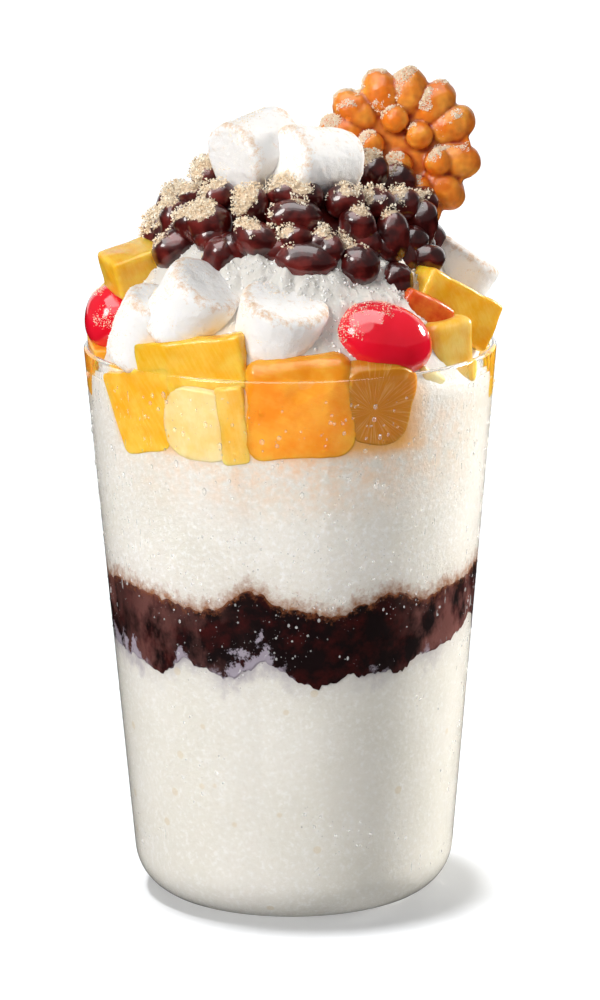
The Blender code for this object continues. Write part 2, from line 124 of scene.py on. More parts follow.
def show(piece, material, slot, *nodes):
    """Give a finished piece its finish, and hide the solids that it stands for."""
    take(piece)
    bpy.ops.object.shade_smooth()
    piece.data.materials.clear()
    piece.data.materials.append(material)
    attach(piece, "root")
    if nodes:
        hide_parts(*nodes)
    print(piece.name, len(piece.data.polygons), "faces")


# %% [markdown]
# A finish is a small web of nodes. One function adds a node, sets it and plugs it in, and another
# turns the hex code of a colour chart to linear light, which is what a shader counts in.

# %% Mixing colours and patterns
def linear(code):
    """An sRGB hex colour as linear light."""
    values = [int(code[place:place + 2], 16) / 255 for place in (1, 3, 5)]
    light = [v / 12.92 if v <= 0.04045 else ((v + 0.055) / 1.055) ** 2.4 for v in values]
    return (*light, 1.0)


def put(tree, kind, sockets, **settings):
    """Add a node, set it up, and plug in or set its sockets."""
    node = tree.nodes.new("ShaderNode" + kind)
    for name, value in settings.items():
        setattr(node, name, value)
    for socket, value in sockets.items():
        if isinstance(value, bpy.types.NodeSocket):
            tree.links.new(value, node.inputs[socket])
        else:
            node.inputs[socket].default_value = value
    return node


def new_material(name):
    """A material with an empty tree, and the piece's own coordinates in metres."""
    material = bpy.data.materials.new(name)
    material.use_nodes = True
    tree = material.node_tree
    tree.nodes.clear()
    place = put(tree, "TexCoord", {}).outputs["Object"]
    return material, tree, place


FACTOR, COLOUR_A, COLOUR_B, COLOUR_OUT = 0, 6, 7, 2       # sockets of a Mix node set to colours

# %% [markdown]
# ## Tools for small things
#
# Crumbs, drops and chips lie on the pieces in thousands. Placing each by hand would take days, so
# one shape is made, random spots are drawn on a surface, and the copies become one joined mesh.

# %% Spots on a surface
def surface_spots(pieces, count, draw):
    """Random spots on these pieces, the same number for each square millimetre, and normals."""
    firsts, seconds, thirds = [], [], []
    for piece in pieces:
        mesh = piece.data
        mesh.calc_loop_triangles()
        corners = np.zeros(3 * len(mesh.vertices))
        mesh.vertices.foreach_get("co", corners)
        corners = corners.reshape(-1, 3)
        triangles = np.zeros(3 * len(mesh.loop_triangles), dtype=np.int64)
        mesh.loop_triangles.foreach_get("vertices", triangles)
        triangles = triangles.reshape(-1, 3)
        firsts.append(corners[triangles[:, 0]])
        seconds.append(corners[triangles[:, 1]])
        thirds.append(corners[triangles[:, 2]])
    first, second, third = [np.concatenate(part) for part in (firsts, seconds, thirds)]
    across = np.cross(second - first, third - first)
    area = np.linalg.norm(across, axis=1)
    picked = draw.choice(len(area), count, p=area / area.sum())
    one, two = draw.random(count), draw.random(count)
    over = one + two > 1
    one[over], two[over] = 1 - one[over], 1 - two[over]
    spots = first[picked] + (second - first)[picked] * one[:, None]
    spots += (third - first)[picked] * two[:, None]
    return spots, across[picked] / area[picked][:, None]


def patches(spots, size, seed):
    """A value near 0 that drifts from spot to spot over this distance, for uneven sprinkling."""
    offset = Vector((seed, 2.7 * seed, 5.1 * seed))
    return np.array([noise.noise(Vector(spot) / size + offset) for spot in spots])


# %% [markdown]
# Thousands of separate objects would be slow to handle, so the corners and faces of all the
# copies are written into one mesh at once, each copy turned by its own draw.

# %% One joined mesh of many copies
def joined(name, corners, triangles):
    mesh = bpy.data.meshes.new(name)
    mesh.vertices.add(len(corners))
    mesh.vertices.foreach_set("co", corners.ravel())
    mesh.loops.add(3 * len(triangles))
    mesh.loops.foreach_set("vertex_index", triangles.ravel().astype(np.int32))
    mesh.polygons.add(len(triangles))
    mesh.polygons.foreach_set("loop_start", np.arange(0, 3 * len(triangles), 3, dtype=np.int32))
    mesh.update(calc_edges=True)
    mesh.validate()
    piece = bpy.data.objects.new(name, mesh)
    bpy.context.scene.collection.objects.link(piece)
    return piece


def strew(name, shape, spots, ways, sizes, draw, tumbled=True):
    """Copies of a small mesh on spots. Its Z goes along each way, or anyhow if tumbled."""
    count = len(spots)
    shape.data.calc_loop_triangles()
    corners = np.array([corner.co for corner in shape.data.vertices])
    triangles = np.array([face.vertices for face in shape.data.loop_triangles])
    up = draw.normal(size=(count, 3)) if tumbled else np.array(ways)
    up = up / np.linalg.norm(up, axis=1)[:, None]
    side = np.cross(up, draw.normal(size=(count, 3)) if tumbled else np.tile((0.0, 0.0, 1.0), (count, 1)))
    side = side / (np.linalg.norm(side, axis=1)[:, None] + 1e-9)
    other = np.cross(up, side)
    turns = np.stack([side, other, up], axis=2)
    sizes = np.array(sizes).reshape(count, -1) * np.ones((1, 3))
    placed = np.einsum("nij,nkj->nki", turns, corners[None] * sizes[:, None, :]) + np.array(spots)[:, None, :]
    every = triangles[None] + len(corners) * np.arange(count)[:, None, None]
    return joined(name, placed.reshape(-1, 3), every.reshape(-1, 3))


# %% [markdown]
# Blender numbers the corners and faces of a ball, or of a body pulled up ring by ring, in an order
# that changes from run to run, and random draws go by number. So they are numbered again by place.

# %% A fixed order
def in_order(piece):
    """Number corners and faces by their place, so that every run comes out the same."""
    mesh = piece.data
    places = [[round(value, 5) for value in corner.co] for corner in mesh.vertices]
    order = sorted(range(len(places)), key=places.__getitem__)
    number_of = {old: new for new, old in enumerate(order)}
    faces = []
    for face in mesh.polygons:
        around = [number_of[old] for old in face.vertices]
        start = around.index(min(around))
        faces.append(around[start:] + around[:start])
    corners = [mesh.vertices[old].co.copy() for old in order]
    mesh.clear_geometry()
    mesh.from_pydata(corners, [], sorted(faces))


# %% [markdown]
# A chip of ice is too small for its own shape to count, but it must not be round. A ball of twenty
# faces gets its corners pushed in and out.

# %% A crumb
def crumb_shape(jag, draw):
    """A ball of twenty faces, dented at random."""
    bpy.ops.object.select_all(action="DESELECT")
    bpy.ops.mesh.primitive_ico_sphere_add(subdivisions=1, radius=0.5)
    shape = named("crumb")
    in_order(shape)
    for corner in shape.data.vertices:
        corner.co *= 1 + jag * (draw.random() - 0.5)
    return shape


# %% [markdown]
# ## Camera, floor and light
#
# A long lens a metre away, looking down a little, keeps the glass almost free of perspective.

# %% Camera
LENS = 169.56                       # mm on a 36 mm long side
CAMERA_AT = (0.001934, -1.03265, 0.32070)
LOOK_DOWN = math.radians(12.627)
LEAN = math.radians(-0.4145)

bpy.ops.object.camera_add(location=CAMERA_AT)
camera = bpy.context.object
camera.data.lens = LENS
camera.data.sensor_width = 36
camera.data.clip_end = 20
aim = Matrix.Rotation(math.pi / 2 - LOOK_DOWN, 3, "X") @ Matrix.Rotation(LEAN, 3, "Z")
camera.rotation_euler = aim.to_euler()
bpy.context.scene.camera = camera
print("lens of", LENS, "mm, looking down", round(math.degrees(LOOK_DOWN), 1), "degrees")

# %% [markdown]
# The floor is a plain pale table. It glows a little, as a table does in a bright white room, so
# that it stays near white all over.

# %% Floor
FLOOR_GLOW = 0.22
bpy.ops.mesh.primitive_plane_add(size=16.0)
floor = named("floor")
table_finish, tree, place = new_material("pale matt table")
floor_shader = put(tree, "BsdfPrincipled", {
    "Base Color": linear("#F0F2F5"), "Roughness": 0.8, "Specular IOR Level": 0.2,
    "Emission Color": linear("#FFFFFF"), "Emission Strength": FLOOR_GLOW})
put(tree, "OutputMaterial", {"Surface": floor_shader.outputs[0]})
floor.data.materials.append(table_finish)
print("floor", round(floor.dimensions.x), "m wide")

# %% [markdown]
# Round soft lamps stand three metres off. The key is high at the left, and its small core gives
# crisp highlights. One at the right, from behind, brightens that edge of the glass, and a broad
# one fills from above. The table has a lamp of its own, almost overhead, for a short shadow.

# %% Lamps
LAMP_DISTANCE = 3.0                 # metres


def disc_lamp(name, way, strength, width, colour):
    """A round lamp towards the way, this many degrees wide, giving strength W/m2 at the glass."""
    spot = Vector(way).normalized() * LAMP_DISTANCE
    turn = (-spot).to_track_quat("-Z", "Y").to_euler()
    bpy.ops.object.light_add(type="AREA", location=spot, rotation=turn)
    light = bpy.context.object
    light.name = name
    light.data.shape = "DISK"
    light.data.size = 2 * LAMP_DISTANCE * math.tan(math.radians(width / 2))
    light.data.energy = strength * math.pi * LAMP_DISTANCE ** 2
    light.data.color = linear(colour)[:3]
    return light


lamps = [
    disc_lamp("key", (-0.623, -0.561, 0.545), 1.85, 24, "#FFFDFA"),
    disc_lamp("key_core", (-0.623, -0.561, 0.545), 0.4, 6, "#FFFFFF"),
    disc_lamp("right_light", (0.9, 0.42, 0.40), 3.3, 20, "#FFFCF6"),
    disc_lamp("top_fill", (-0.15, -0.6, 0.8), 0.75, 40, "#FFFFFF")]
bpy.ops.object.light_add(type="SUN", location=(-0.1, 0.03, 1.0))
table_light = bpy.context.object
table_light.name = "table_light"
table_light.rotation_euler = (-table_light.location).to_track_quat("-Z", "Y").to_euler()
table_light.data.energy = 2.85
table_light.data.angle = math.radians(11)
print(len(lamps), "round lamps,", LAMP_DISTANCE, "m away, and one for the table")

# %% [markdown]
# A photographer lays black card round a glass, out of sight, so that the bright table isn't
# mirrored in it and its contents stay deep in colour. White card overhead draws a white line along
# the rim, and white card behind shines on wet tops. These three show in mirrorings alone. A grey
# card lies under the black one and holds back some of the light that the table throws up. It has
# no underside, so it hides nothing from below.

# %% Black card and white cards
def card_of_light(card, name, colour, glow):
    """A finish for a card, and the card hidden from all but mirrorings."""
    finish, tree, place = new_material(name)
    paper = put(tree, "BsdfPrincipled", {
        "Base Color": linear(colour), "Roughness": 1.0, "Specular IOR Level": 0.0,
        "Emission Color": linear("#FFFFFF"), "Emission Strength": glow})
    put(tree, "OutputMaterial", {"Surface": paper.outputs[0]})
    card.data.materials.append(finish)
    card.visible_camera = False
    card.visible_diffuse = False
    card.visible_transmission = False
    card.visible_shadow = False


CARD_REACH = 8.0                    # metres
CARD_SIDES = 64
ROOM_FOR_GLASS = 29 * MM


def floor_card(name, height):
    """A wide sheet on the table with a hole that the glass stands in."""
    bpy.ops.mesh.primitive_circle_add(
        vertices=CARD_SIDES, radius=CARD_REACH, fill_type="NGON", location=(0, 0, height))
    card = named(name)
    settle(card)
    bpy.ops.object.mode_set(mode="EDIT")
    bpy.ops.mesh.select_all(action="SELECT")
    bpy.ops.mesh.inset(thickness=CARD_REACH * math.cos(math.pi / CARD_SIDES) - ROOM_FOR_GLASS)
    bpy.ops.mesh.delete(type="FACE")
    bpy.ops.object.mode_set(mode="OBJECT")
    return card


black_card = floor_card("black_card", 0.5 * MM)
card_of_light(black_card, "black card", "#101010", 0.0)
grey_card = floor_card("grey_card", 0.4 * MM)
card_of_light(grey_card, "grey card", "#606060", 0.62)
grey_card.visible_glossy = False
grey_card.visible_diffuse = True
grey_card.visible_transmission = True
tree = grey_card.data.materials[0].node_tree
side = put(tree, "NewGeometry", {})
nothing = put(tree, "BsdfTransparent", {})
one_sided = put(tree, "MixShader", {
    0: side.outputs["Backfacing"], 1: tree.nodes["Principled BSDF"].outputs[0], 2: nothing.outputs[0]})
put(tree, "OutputMaterial", {"Surface": one_sided.outputs[0]}).is_active_output = True
bpy.ops.mesh.primitive_plane_add(size=1.0, location=(-0.2, -0.3, 1.4))
white_card = named("white_card")
white_card.scale = (1.6, 1.2, 1.0)
settle(white_card)
card_of_light(white_card, "lit white card", "#FFFFFF", 3.8)
bpy.ops.mesh.primitive_plane_add(size=1.0, location=(0, 3, 1.5), rotation=(math.pi / 2, 0, 0))
back_card = named("back_card")
back_card.scale = (7.0, 3.0, 1.0)
settle(back_card)
card_of_light(back_card, "lit backdrop", "#FFFFFF", 0.75)
print("cards:", black_card.name, grey_card.name, white_card.name, back_card.name)

# %% [markdown]
# The room itself is white and dim. The plain Standard view keeps white foods white.

# %% The room
world = bpy.data.worlds.new("dim room")
bpy.context.scene.world = world
world.use_nodes = True
air = world.node_tree.nodes["Background"]
air.inputs["Color"].default_value = linear("#FFFFFF")
air.inputs["Strength"].default_value = 0.16
bpy.context.scene.view_settings.view_transform = "Standard"
print("room light", round(air.inputs["Strength"].default_value, 2))

# %% [markdown]
# ## Glass
#
# The glass is pressed soda-lime glass with a thin wall and a fire-polished rim. It is made like
# on a wheel: a disc is extruded up ring by ring along the outside, over the rim and down inside,
# so the wall has its true thickness and bends light as the real one does.

# %% The side of the glass
GLASS_HEIGHT = 125.5 * MM
MOUTH_RADIUS = 46.0 * MM
FOOT_RADIUS = 35.3 * MM
CORNER_RADIUS = 10.8 * MM
WALL = 1.6 * MM
SLOPE = math.atan2(MOUTH_RADIUS - FOOT_RADIUS, GLASS_HEIGHT)
CORNER_MIDDLE = FOOT_RADIUS + CORNER_RADIUS * math.tan(SLOPE) - CORNER_RADIUS / math.cos(SLOPE)
AROUND = 192                        # faces round the glass
FINE_AROUND = 384                   # and round its fillings


def wall_radius(height, inset=0.0):
    """Radius of the side at a height, moved inwards by inset."""
    corner = CORNER_RADIUS - inset
    if height >= CORNER_RADIUS - corner * math.sin(SLOPE):
        return FOOT_RADIUS + height * math.tan(SLOPE) - inset / math.cos(SLOPE)
    drop = CORNER_RADIUS - height
    return CORNER_MIDDLE + math.sqrt(max(0.0, corner * corner - drop * drop))


def corner_rings(inset, steps=12):
    """The round lower corner, from the flat base up to the straight side."""
    rings = []
    for step in range(steps + 1):
        angle = (math.pi / 2 - SLOPE) * step / steps
        radius = CORNER_RADIUS - inset
        rings.append((CORNER_MIDDLE + radius * math.sin(angle), CORNER_RADIUS - radius * math.cos(angle)))
    return rings


print("the side leans out", round(math.degrees(SLOPE), 1), "degrees")

# %% [markdown]
# Extruding and resizing one ring after another does by hand what a lathe or a potter's wheel does.

# %% A body turned up ring by ring
def turned(name, rings, around=AROUND):
    """Extrude a disc from ring to ring (radius, height). The last ring closes it."""
    radius, height = rings[0]
    bpy.ops.object.select_all(action="DESELECT")
    bpy.ops.mesh.primitive_circle_add(
        vertices=around, radius=radius, fill_type="NGON", location=(0, 0, height))
    piece = named(name)
    settle(piece)
    bpy.ops.object.mode_set(mode="EDIT")
    bpy.ops.mesh.select_all(action="SELECT")
    for next_radius, next_height in rings[1:]:
        bpy.ops.mesh.extrude_region_move(
            TRANSFORM_OT_translate={"value": (0, 0, next_height - height)})
        grow = next_radius / radius
        bpy.ops.transform.resize(value=(grow, grow, 1), center_override=(0, 0, next_height))
        radius, height = next_radius, next_height
    bpy.ops.mesh.select_all(action="SELECT")
    bpy.ops.mesh.normals_make_consistent(inside=False)
    bpy.ops.object.mode_set(mode="OBJECT")
    in_order(piece)
    return piece


# %% [markdown]
# The rings run from the base up the outside, over the half-round rim and down the inside.

# %% Turning the glass
RIM_STEPS = 10
rim = []
for step in range(RIM_STEPS + 1):
    angle = math.pi * step / RIM_STEPS
    rim.append((
        MOUTH_RADIUS - WALL / 2 + WALL / 2 * math.cos(angle),
        GLASS_HEIGHT - WALL / 2 + WALL / 2 * math.sin(angle)))
glass = turned("glass_tumbler", corner_rings(0.0) + rim + corner_rings(WALL)[::-1])

# %% [markdown]
# The glass is cold and lightly misted: a fine breath of dew, drawn as drops about a millimetre
# apart so that it shows, breaks up the highlights. Rays from lamps go straight through, as they
# nearly do through so thin a wall.

# %% Misted glass
def lets_lamps_through(tree, surface):
    """Finish a clear material: lamp rays cross it unbent, all others meet its surface."""
    lets_through = put(tree, "BsdfTransparent", {})
    path = put(tree, "LightPath", {})
    either = put(tree, "MixShader", {
        0: path.outputs["Is Shadow Ray"], 1: surface.outputs[0], 2: lets_through.outputs[0]})
    put(tree, "OutputMaterial", {"Surface": either.outputs[0]})


GLASS_IOR = 1.5
misted_glass, tree, place = new_material("misted soda lime glass")
dew = put(tree, "TexVoronoi", {"Vector": place, "Scale": 1 / (1.1 * MM), "Randomness": 1.0})
beads = put(tree, "MapRange", {"Value": dew.outputs["Distance"], "From Min": 0.0, "From Max": 0.45,
                               "To Min": 1.0, "To Max": 0.0})
bump = put(tree, "Bump", {"Height": beads.outputs[0], "Strength": 0.03, "Distance": 0.2 * MM})
clear = put(tree, "BsdfPrincipled", {
    "Base Color": linear("#FFFFFF"), "Roughness": 0.0, "IOR": GLASS_IOR,
    "Specular IOR Level": 0.45, "Transmission Weight": 1.0, "Normal": bump.outputs[0]})
lets_lamps_through(tree, clear)
show(glass, misted_glass, "glass", "dessert_glass")

# %% [markdown]
# ## Milk ice and bean paste
#
# The fillings were spooned in and pressed against the glass, so they reach just into its wall and
# no air shows between. Each is a turned body whose rings are then moved to the uneven edges that
# a spoon leaves.

# %% Edges left by the spoon
PASTE_LOW = 58.4 * MM
PASTE_HIGH = 74.6 * MM
MOUND_PEAK = 157.0 * MM
MOUND_DROP = 36.0 * MM
MOUND_POWER = 3.2
ICE_INSET = 1.1 * MM                # both reach into the wall, which is 1.6 mm thick
PASTE_INSET = 0.95 * MM
OVERLAP = 0.9 * MM                  # of the ices into the paste, so that no gap opens

# Where milk has run into the paste, and where a thin film of paste is left on the glass: degrees
# from the front, share and width in degrees.
MILK_RAN_IN = ((-78, 1.0, 6), (-62, 1.2, 8), (-37, 0.8, 5), (-9, 1.1, 9), (-20, 0.8, 6), (27, 0.5, 5),
               (50, 0.6, 6), (104, 0.9, 12), (160, 0.8, 10), (-160, 0.9, 9), (-120, 0.7, 10))
FILM_LEFT = ((-82, 0.9, 12), (-50, 0.7, 12), (-28, 0.45, 8), (47, 0.8, 9), (68, 0.9, 13), (120, 0.6, 14),
             (170, 0.7, 16), (-130, 0.6, 14))

# Marks of the spoon round the band: degrees from the front, rise in mm and width in degrees.
TOP_MARKS = ((-67, 1.2, 12), (-31, -2.0, 7), (-13, 3.4, 6), (12, -2.4, 9), (34, 1.8, 8), (45, -1.3, 6),
             (78, 2.0, 12), (115, -1.5, 9), (150, 2.2, 10), (-170, -1.6, 9), (-140, 1.8, 8), (-105, -1.2, 9))
LOW_MARKS = ((-85, 1.3, 20), (-47, -1.6, 5), (-36, 2.6, 6), (-9, 3.6, 6), (7, -2.6, 5), (47, 1.7, 8),
             (60, 3.4, 8), (76, 7.5, 9), (112, 3.0, 12), (146, -2.0, 6), (172, 3.0, 8), (-150, -2.4, 6),
             (-118, 3.4, 9))


def humps(angle, table):
    """A sum of soft humps round the glass: each has its degrees, height and width in degrees."""
    total = 0.0
    for degrees, height, width in table:
        away = (math.degrees(angle) - degrees + 180) % 360 - 180
        total += height * math.exp(-(away / width) ** 2)
    return total


def ragged(angle, level, size, octaves=5):
    """Small uneven steps round the edge, different at each level."""
    spot = Vector((9 * math.sin(angle), 9 * math.cos(angle), level))
    return size * noise.fractal(spot, 0.35, 2.1, octaves)


def paste_underside(angle, share):
    return PASTE_LOW + humps(angle, LOW_MARKS) * MM * share ** 2


def paste_top(angle, share):
    return PASTE_HIGH + humps(angle, TOP_MARKS) * MM * share ** 2


def mound_height(radius):
    reach = wall_radius(GLASS_HEIGHT, WALL)
    return MOUND_PEAK - MOUND_DROP * (radius / reach) ** MOUND_POWER


def move_corners(piece, rule):
    """Move each corner to where the rule puts its angle, radius and height."""
    for corner in piece.data.vertices:
        angle = math.atan2(corner.co.x, -corner.co.y)
        radius = math.hypot(corner.co.x, corner.co.y)
        new_radius, height = rule(angle, radius, corner.co.z)
        corner.co = (new_radius * math.sin(angle), -new_radius * math.cos(angle), height)


def cylinder_rings(side_steps, cap_shares):
    """Rings of a unit filling: radius is the share of the wall's, height the share of the depth."""
    rings = [(share, 0.0) for share in cap_shares]
    rings += [(1.0, step / side_steps) for step in range(1, side_steps + 1)]
    return rings + [(share, 1.0) for share in cap_shares[-2::-1]]


def keep_note(piece, name, values):
    """Keep a number at each corner, which a finish can read."""
    piece.data.attributes.new(name, "FLOAT", "POINT").data.foreach_set("value", values)


def note_on(piece, name, rule):
    """Keep the number that the rule gives for a corner's angle and height."""
    values = []
    for corner in piece.data.vertices:
        values.append(rule(math.atan2(corner.co.x, -corner.co.y), corner.co.z))
    keep_note(piece, name, values)


print("band of paste", round((PASTE_HIGH - PASTE_LOW) / MM, 1), "mm high")

# %% [markdown]
# The lower ice fills the foot of the glass and ends inside the paste. Its turned body is straight
# at first, and each ring is then moved to its height and to the wall's radius there.

# %% Lower ice
def low_edge(angle, share=1.0):
    return paste_underside(angle, share) + ragged(angle, 5.0, 1.05 * MM) * share


def high_edge(angle, share=1.0):
    return paste_top(angle, share) + ragged(angle, 8.0, 0.8 * MM) * share


def lower_ice_rule(angle, share, up):
    low = ICE_INSET
    high = low_edge(angle, share) + OVERLAP
    height = low + (high - low) * up
    return share * wall_radius(height, ICE_INSET), height


lower_ice = turned("milk_ice_below", cylinder_rings(60, (0.02, 0.4, 0.75, 0.95, 1.0)), FINE_AROUND)
move_corners(lower_ice, lower_ice_rule)
note_on(lower_ice, "from_paste", lambda angle, height: (low_edge(angle) - height) / MM)
note_on(lower_ice, "milk", lambda angle, height: humps(angle, MILK_RAN_IN))

# %% [markdown]
# The paste is a band pressed between the two ices. Numbers kept at its corners say how far each is
# from the band's edges, where milk ran in and where a thin film clings to the glass.

# %% Bean paste
def paste_rule(angle, share, up):
    low, high = low_edge(angle, share), high_edge(angle, share)
    height = low + (high - low) * up
    return share * wall_radius(height, PASTE_INSET), height


paste = turned("red_bean_paste_band", cylinder_rings(28, (0.02, 0.5, 0.85, 0.97, 1.0)), FINE_AROUND)
move_corners(paste, paste_rule)
note_on(paste, "above_low", lambda angle, height: (height - low_edge(angle)) / MM)
note_on(paste, "below_high", lambda angle, height: (high_edge(angle) - height) / MM)
note_on(paste, "milk", lambda angle, height: humps(angle, MILK_RAN_IN))
note_on(paste, "film", lambda angle, height: humps(angle, FILM_LEFT))

# %% [markdown]
# The heap of beans presses a hollow into the mound, deeper at the right, so the ice is lowered
# there. Elsewhere the mound is broken up into clumps of a few millimetres.

# %% Upper ice
HEAP_MIDDLE = Vector((1.0, -0.5, 145.0)) * MM
HEAP_HALF = Vector((29.5, 25.5, 19.0)) * MM
BED_HEIGHT = 149.5 * MM             # at the heap's edge
BED_TILT = 0.17                     # down towards the right
BED_DEPTH = 12 * MM                 # deeper in its middle
BED_EDGE = 40 * MM
MOUND_RINGS = 110
SIDE_RINGS = 34
IS_UPPER = 100.0                    # mm added to a note, which tells the upper ice from the lower
side_part = [(share, 0.0) for share in (0.02, 0.5, 0.9, 1.0)]
side_part += [(1.0, step / SIDE_RINGS) for step in range(1, SIDE_RINGS + 1)]
top_part = [(1.0 - 0.98 * step / MOUND_RINGS, 1.0) for step in range(1, MOUND_RINGS + 1)]


def mound_surface(angle, radius):
    """The top of the ice, with clumps, and with the bed of the beans pressed into it."""
    across, deep = radius * math.sin(angle), -radius * math.cos(angle)
    high = mound_height(radius)
    inside_heap = math.hypot((across - HEAP_MIDDLE.x) / HEAP_HALF.x, (deep - HEAP_MIDDLE.y) / HEAP_HALF.y)
    bed = BED_HEIGHT - BED_TILT * across - BED_DEPTH * (1 - inside_heap)
    if inside_heap < 1.12:
        high = min(high, bed + BED_EDGE * max(0.0, inside_heap - 0.98))
    spot = Vector((across, deep, 0.0))
    rise = noise.fractal(spot / (6 * MM), 0.8, 2.2, 3) * 1.5
    rise += 1.1 - 2.0 * noise.voronoi(spot / (3.4 * MM))[0][0]
    rise += 0.5 - 1.1 * noise.voronoi(spot / (1.3 * MM))[0][0]
    return high + rise * MM * min(1.0, 5 * (1.0 - radius / MOUTH_RADIUS))


def upper_ice_rule(angle, share, up):
    low = high_edge(angle, share) - OVERLAP
    radius = share * wall_radius(GLASS_HEIGHT, ICE_INSET)
    height = low + (mound_surface(angle, radius) - low) * up
    return min(radius, share * wall_radius(height, ICE_INSET)), height


def ramp(value):
    """The value, kept between 0 and 1."""
    return max(0.0, min(1.0, value))


def juice_at(angle, height):
    """Juice has soaked down under the fruit, most of it at the front."""
    degrees, up = math.degrees(angle), height / MM
    return max(0.0, 1 - abs(degrees - 5) / 75) * ramp((up - 92) / 14) * ramp((119 - up) / 3)


def among_fruit_at(angle, height):
    """Syrup fills what is left between the pieces of fruit at the front of the glass."""
    degrees, up = math.degrees(angle), height / MM
    sides = ramp((43 - degrees) / 10) * ramp((degrees + 58 + 0.5 * (up - 107)) / 4)
    return ramp((up - 107.5) / 2) * sides * ramp((124 - up) / 2)


upper_ice = turned("milk_ice_above", side_part + top_part, FINE_AROUND)
move_corners(upper_ice, upper_ice_rule)
note_on(upper_ice, "from_paste", lambda angle, height: (height - high_edge(angle)) / MM + IS_UPPER)
note_on(upper_ice, "juice", juice_at)
note_on(upper_ice, "among_fruit", among_fruit_at)

# %% [markdown]
# Milk ice is thousands of thin shavings. Light goes into it and comes out softly, its grains are
# about a millimetre, and here and there it is wetter and greyer or holds a tan speck.

# %% Shaved milk ice
GRAIN = 1.1 * MM
milk_ice, tree, place = new_material("shaved milk ice")
clouds = put(tree, "TexNoise", {"Vector": place, "Scale": 1 / (17 * MM), "Detail": 4.0})
wet = put(tree, "MapRange", {"Value": clouds.outputs[0], "From Min": 0.42, "From Max": 0.62})
grains = put(tree, "TexVoronoi", {"Vector": place, "Scale": 1 / GRAIN, "Randomness": 1.0})
flecks = put(tree, "TexNoise", {"Vector": place, "Scale": 1 / (1.1 * MM), "Detail": 6.0,
                                "Roughness": 0.75})
body = put(tree, "Mix", {FACTOR: wet.outputs[0], COLOUR_A: linear("#EFECE6"),
                         COLOUR_B: linear("#E9E6DE")}, data_type="RGBA")
# Painted light: at the grains' size, bright specks are painted glints of the crystals, and darker spots are
# painted shade in the gaps between grains.
painted_glint_share = put(tree, "MapRange", {"Value": flecks.outputs[0], "From Min": 0.52, "From Max": 0.62,
                                     "To Max": 0.75})
with_painted_glints = put(tree, "Mix", {FACTOR: painted_glint_share.outputs[0], COLOUR_A: body.outputs[COLOUR_OUT],
                           COLOUR_B: linear("#FFFFFF")}, data_type="RGBA")
painted_gap_shade = put(tree, "MapRange", {"Value": flecks.outputs[0], "From Min": 0.45, "From Max": 0.33,
                                   "To Max": 0.4})
with_painted_gap_shade = put(tree, "Mix", {FACTOR: painted_gap_shade.outputs[0], COLOUR_A: with_painted_glints.outputs[COLOUR_OUT],
                           COLOUR_B: linear("#D6D0C4")}, data_type="RGBA")

# %% [markdown]
# Where the ice lies on the paste it has drunk some of it: lilac grey below the band, where milk
# ran into it, and brown above. Under the fruit it is tinted with juice. Each tint follows a number
# kept at the corners, broken up by a pattern of a few millimetres. Below the rim the ice is mixed
# a little greyer. Over the rim it is painted whiter towards the top, as painted light on the mound.

# %% Tints in the ice
breaks = put(tree, "TexNoise", {"Vector": place, "Scale": 1 / (3.5 * MM), "Detail": 6.0, "Roughness": 0.7})
broken = put(tree, "MapRange", {"Value": breaks.outputs[0], "From Min": 0.3, "From Max": 0.7,
                                "To Min": -3.0, "To Max": 3.0})
near = put(tree, "Attribute", {}, attribute_name="from_paste")
fringe = put(tree, "TexNoise", {"Vector": place, "Scale": 1 / (1.8 * MM), "Detail": 6.0, "Roughness": 0.75})
frayed = put(tree, "MapRange", {"Value": fringe.outputs[0], "From Min": 0.3, "From Max": 0.7,
                                "To Min": -2.2, "To Max": 2.2})
milk_note = put(tree, "Attribute", {}, attribute_name="milk")
lilac_reach = put(tree, "Math", {0: near.outputs["Fac"], 1: broken.outputs[0]}, operation="ADD")
lilac_near = put(tree, "MapRange", {"Value": lilac_reach.outputs[0], "From Min": 4.5, "From Max": 0.0,
                                    "To Max": 0.9})
milk_share = put(tree, "Math", {0: milk_note.outputs["Fac"], 1: 0.12}, operation="ADD", use_clamp=True)
lilac = put(tree, "Math", {0: lilac_near.outputs[0], 1: milk_share.outputs[0]}, operation="MULTIPLY")
with_lilac = put(tree, "Mix", {FACTOR: lilac.outputs[0], COLOUR_A: with_painted_gap_shade.outputs[COLOUR_OUT],
                               COLOUR_B: linear("#A39AA8")}, data_type="RGBA")
fringe_reach = put(tree, "Math", {0: near.outputs["Fac"], 1: frayed.outputs[0]}, operation="ADD")
brown_reach = put(tree, "Math", {0: fringe_reach.outputs[0], 1: IS_UPPER}, operation="SUBTRACT")
brown_near = put(tree, "MapRange", {"Value": brown_reach.outputs[0], "From Min": 3.4, "From Max": -0.8,
                                    "To Max": 0.95})
is_above = put(tree, "Math", {0: near.outputs["Fac"], 1: 0.8 * IS_UPPER}, operation="GREATER_THAN")
brown = put(tree, "Math", {0: brown_near.outputs[0], 1: is_above.outputs[0]}, operation="MULTIPLY")
with_brown = put(tree, "Mix", {FACTOR: brown.outputs[0], COLOUR_A: with_lilac.outputs[COLOUR_OUT],
                               COLOUR_B: linear("#A0622F")}, data_type="RGBA")
juice = put(tree, "Attribute", {}, attribute_name="juice")
juice_patch = put(tree, "MapRange", {"Value": breaks.outputs[0], "From Min": 0.40, "From Max": 0.62,
                                     "To Max": 0.75})
juice_share = put(tree, "Math", {0: juice.outputs["Fac"], 1: juice_patch.outputs[0]},
                  operation="MULTIPLY")
tinted = put(tree, "Mix", {FACTOR: juice_share.outputs[0], COLOUR_A: with_brown.outputs[COLOUR_OUT],
                           COLOUR_B: linear("#F3C9A0")}, data_type="RGBA")
among = put(tree, "Attribute", {}, attribute_name="among_fruit")
among_share = put(tree, "Math", {0: among.outputs["Fac"], 1: 0.85}, operation="MULTIPLY")
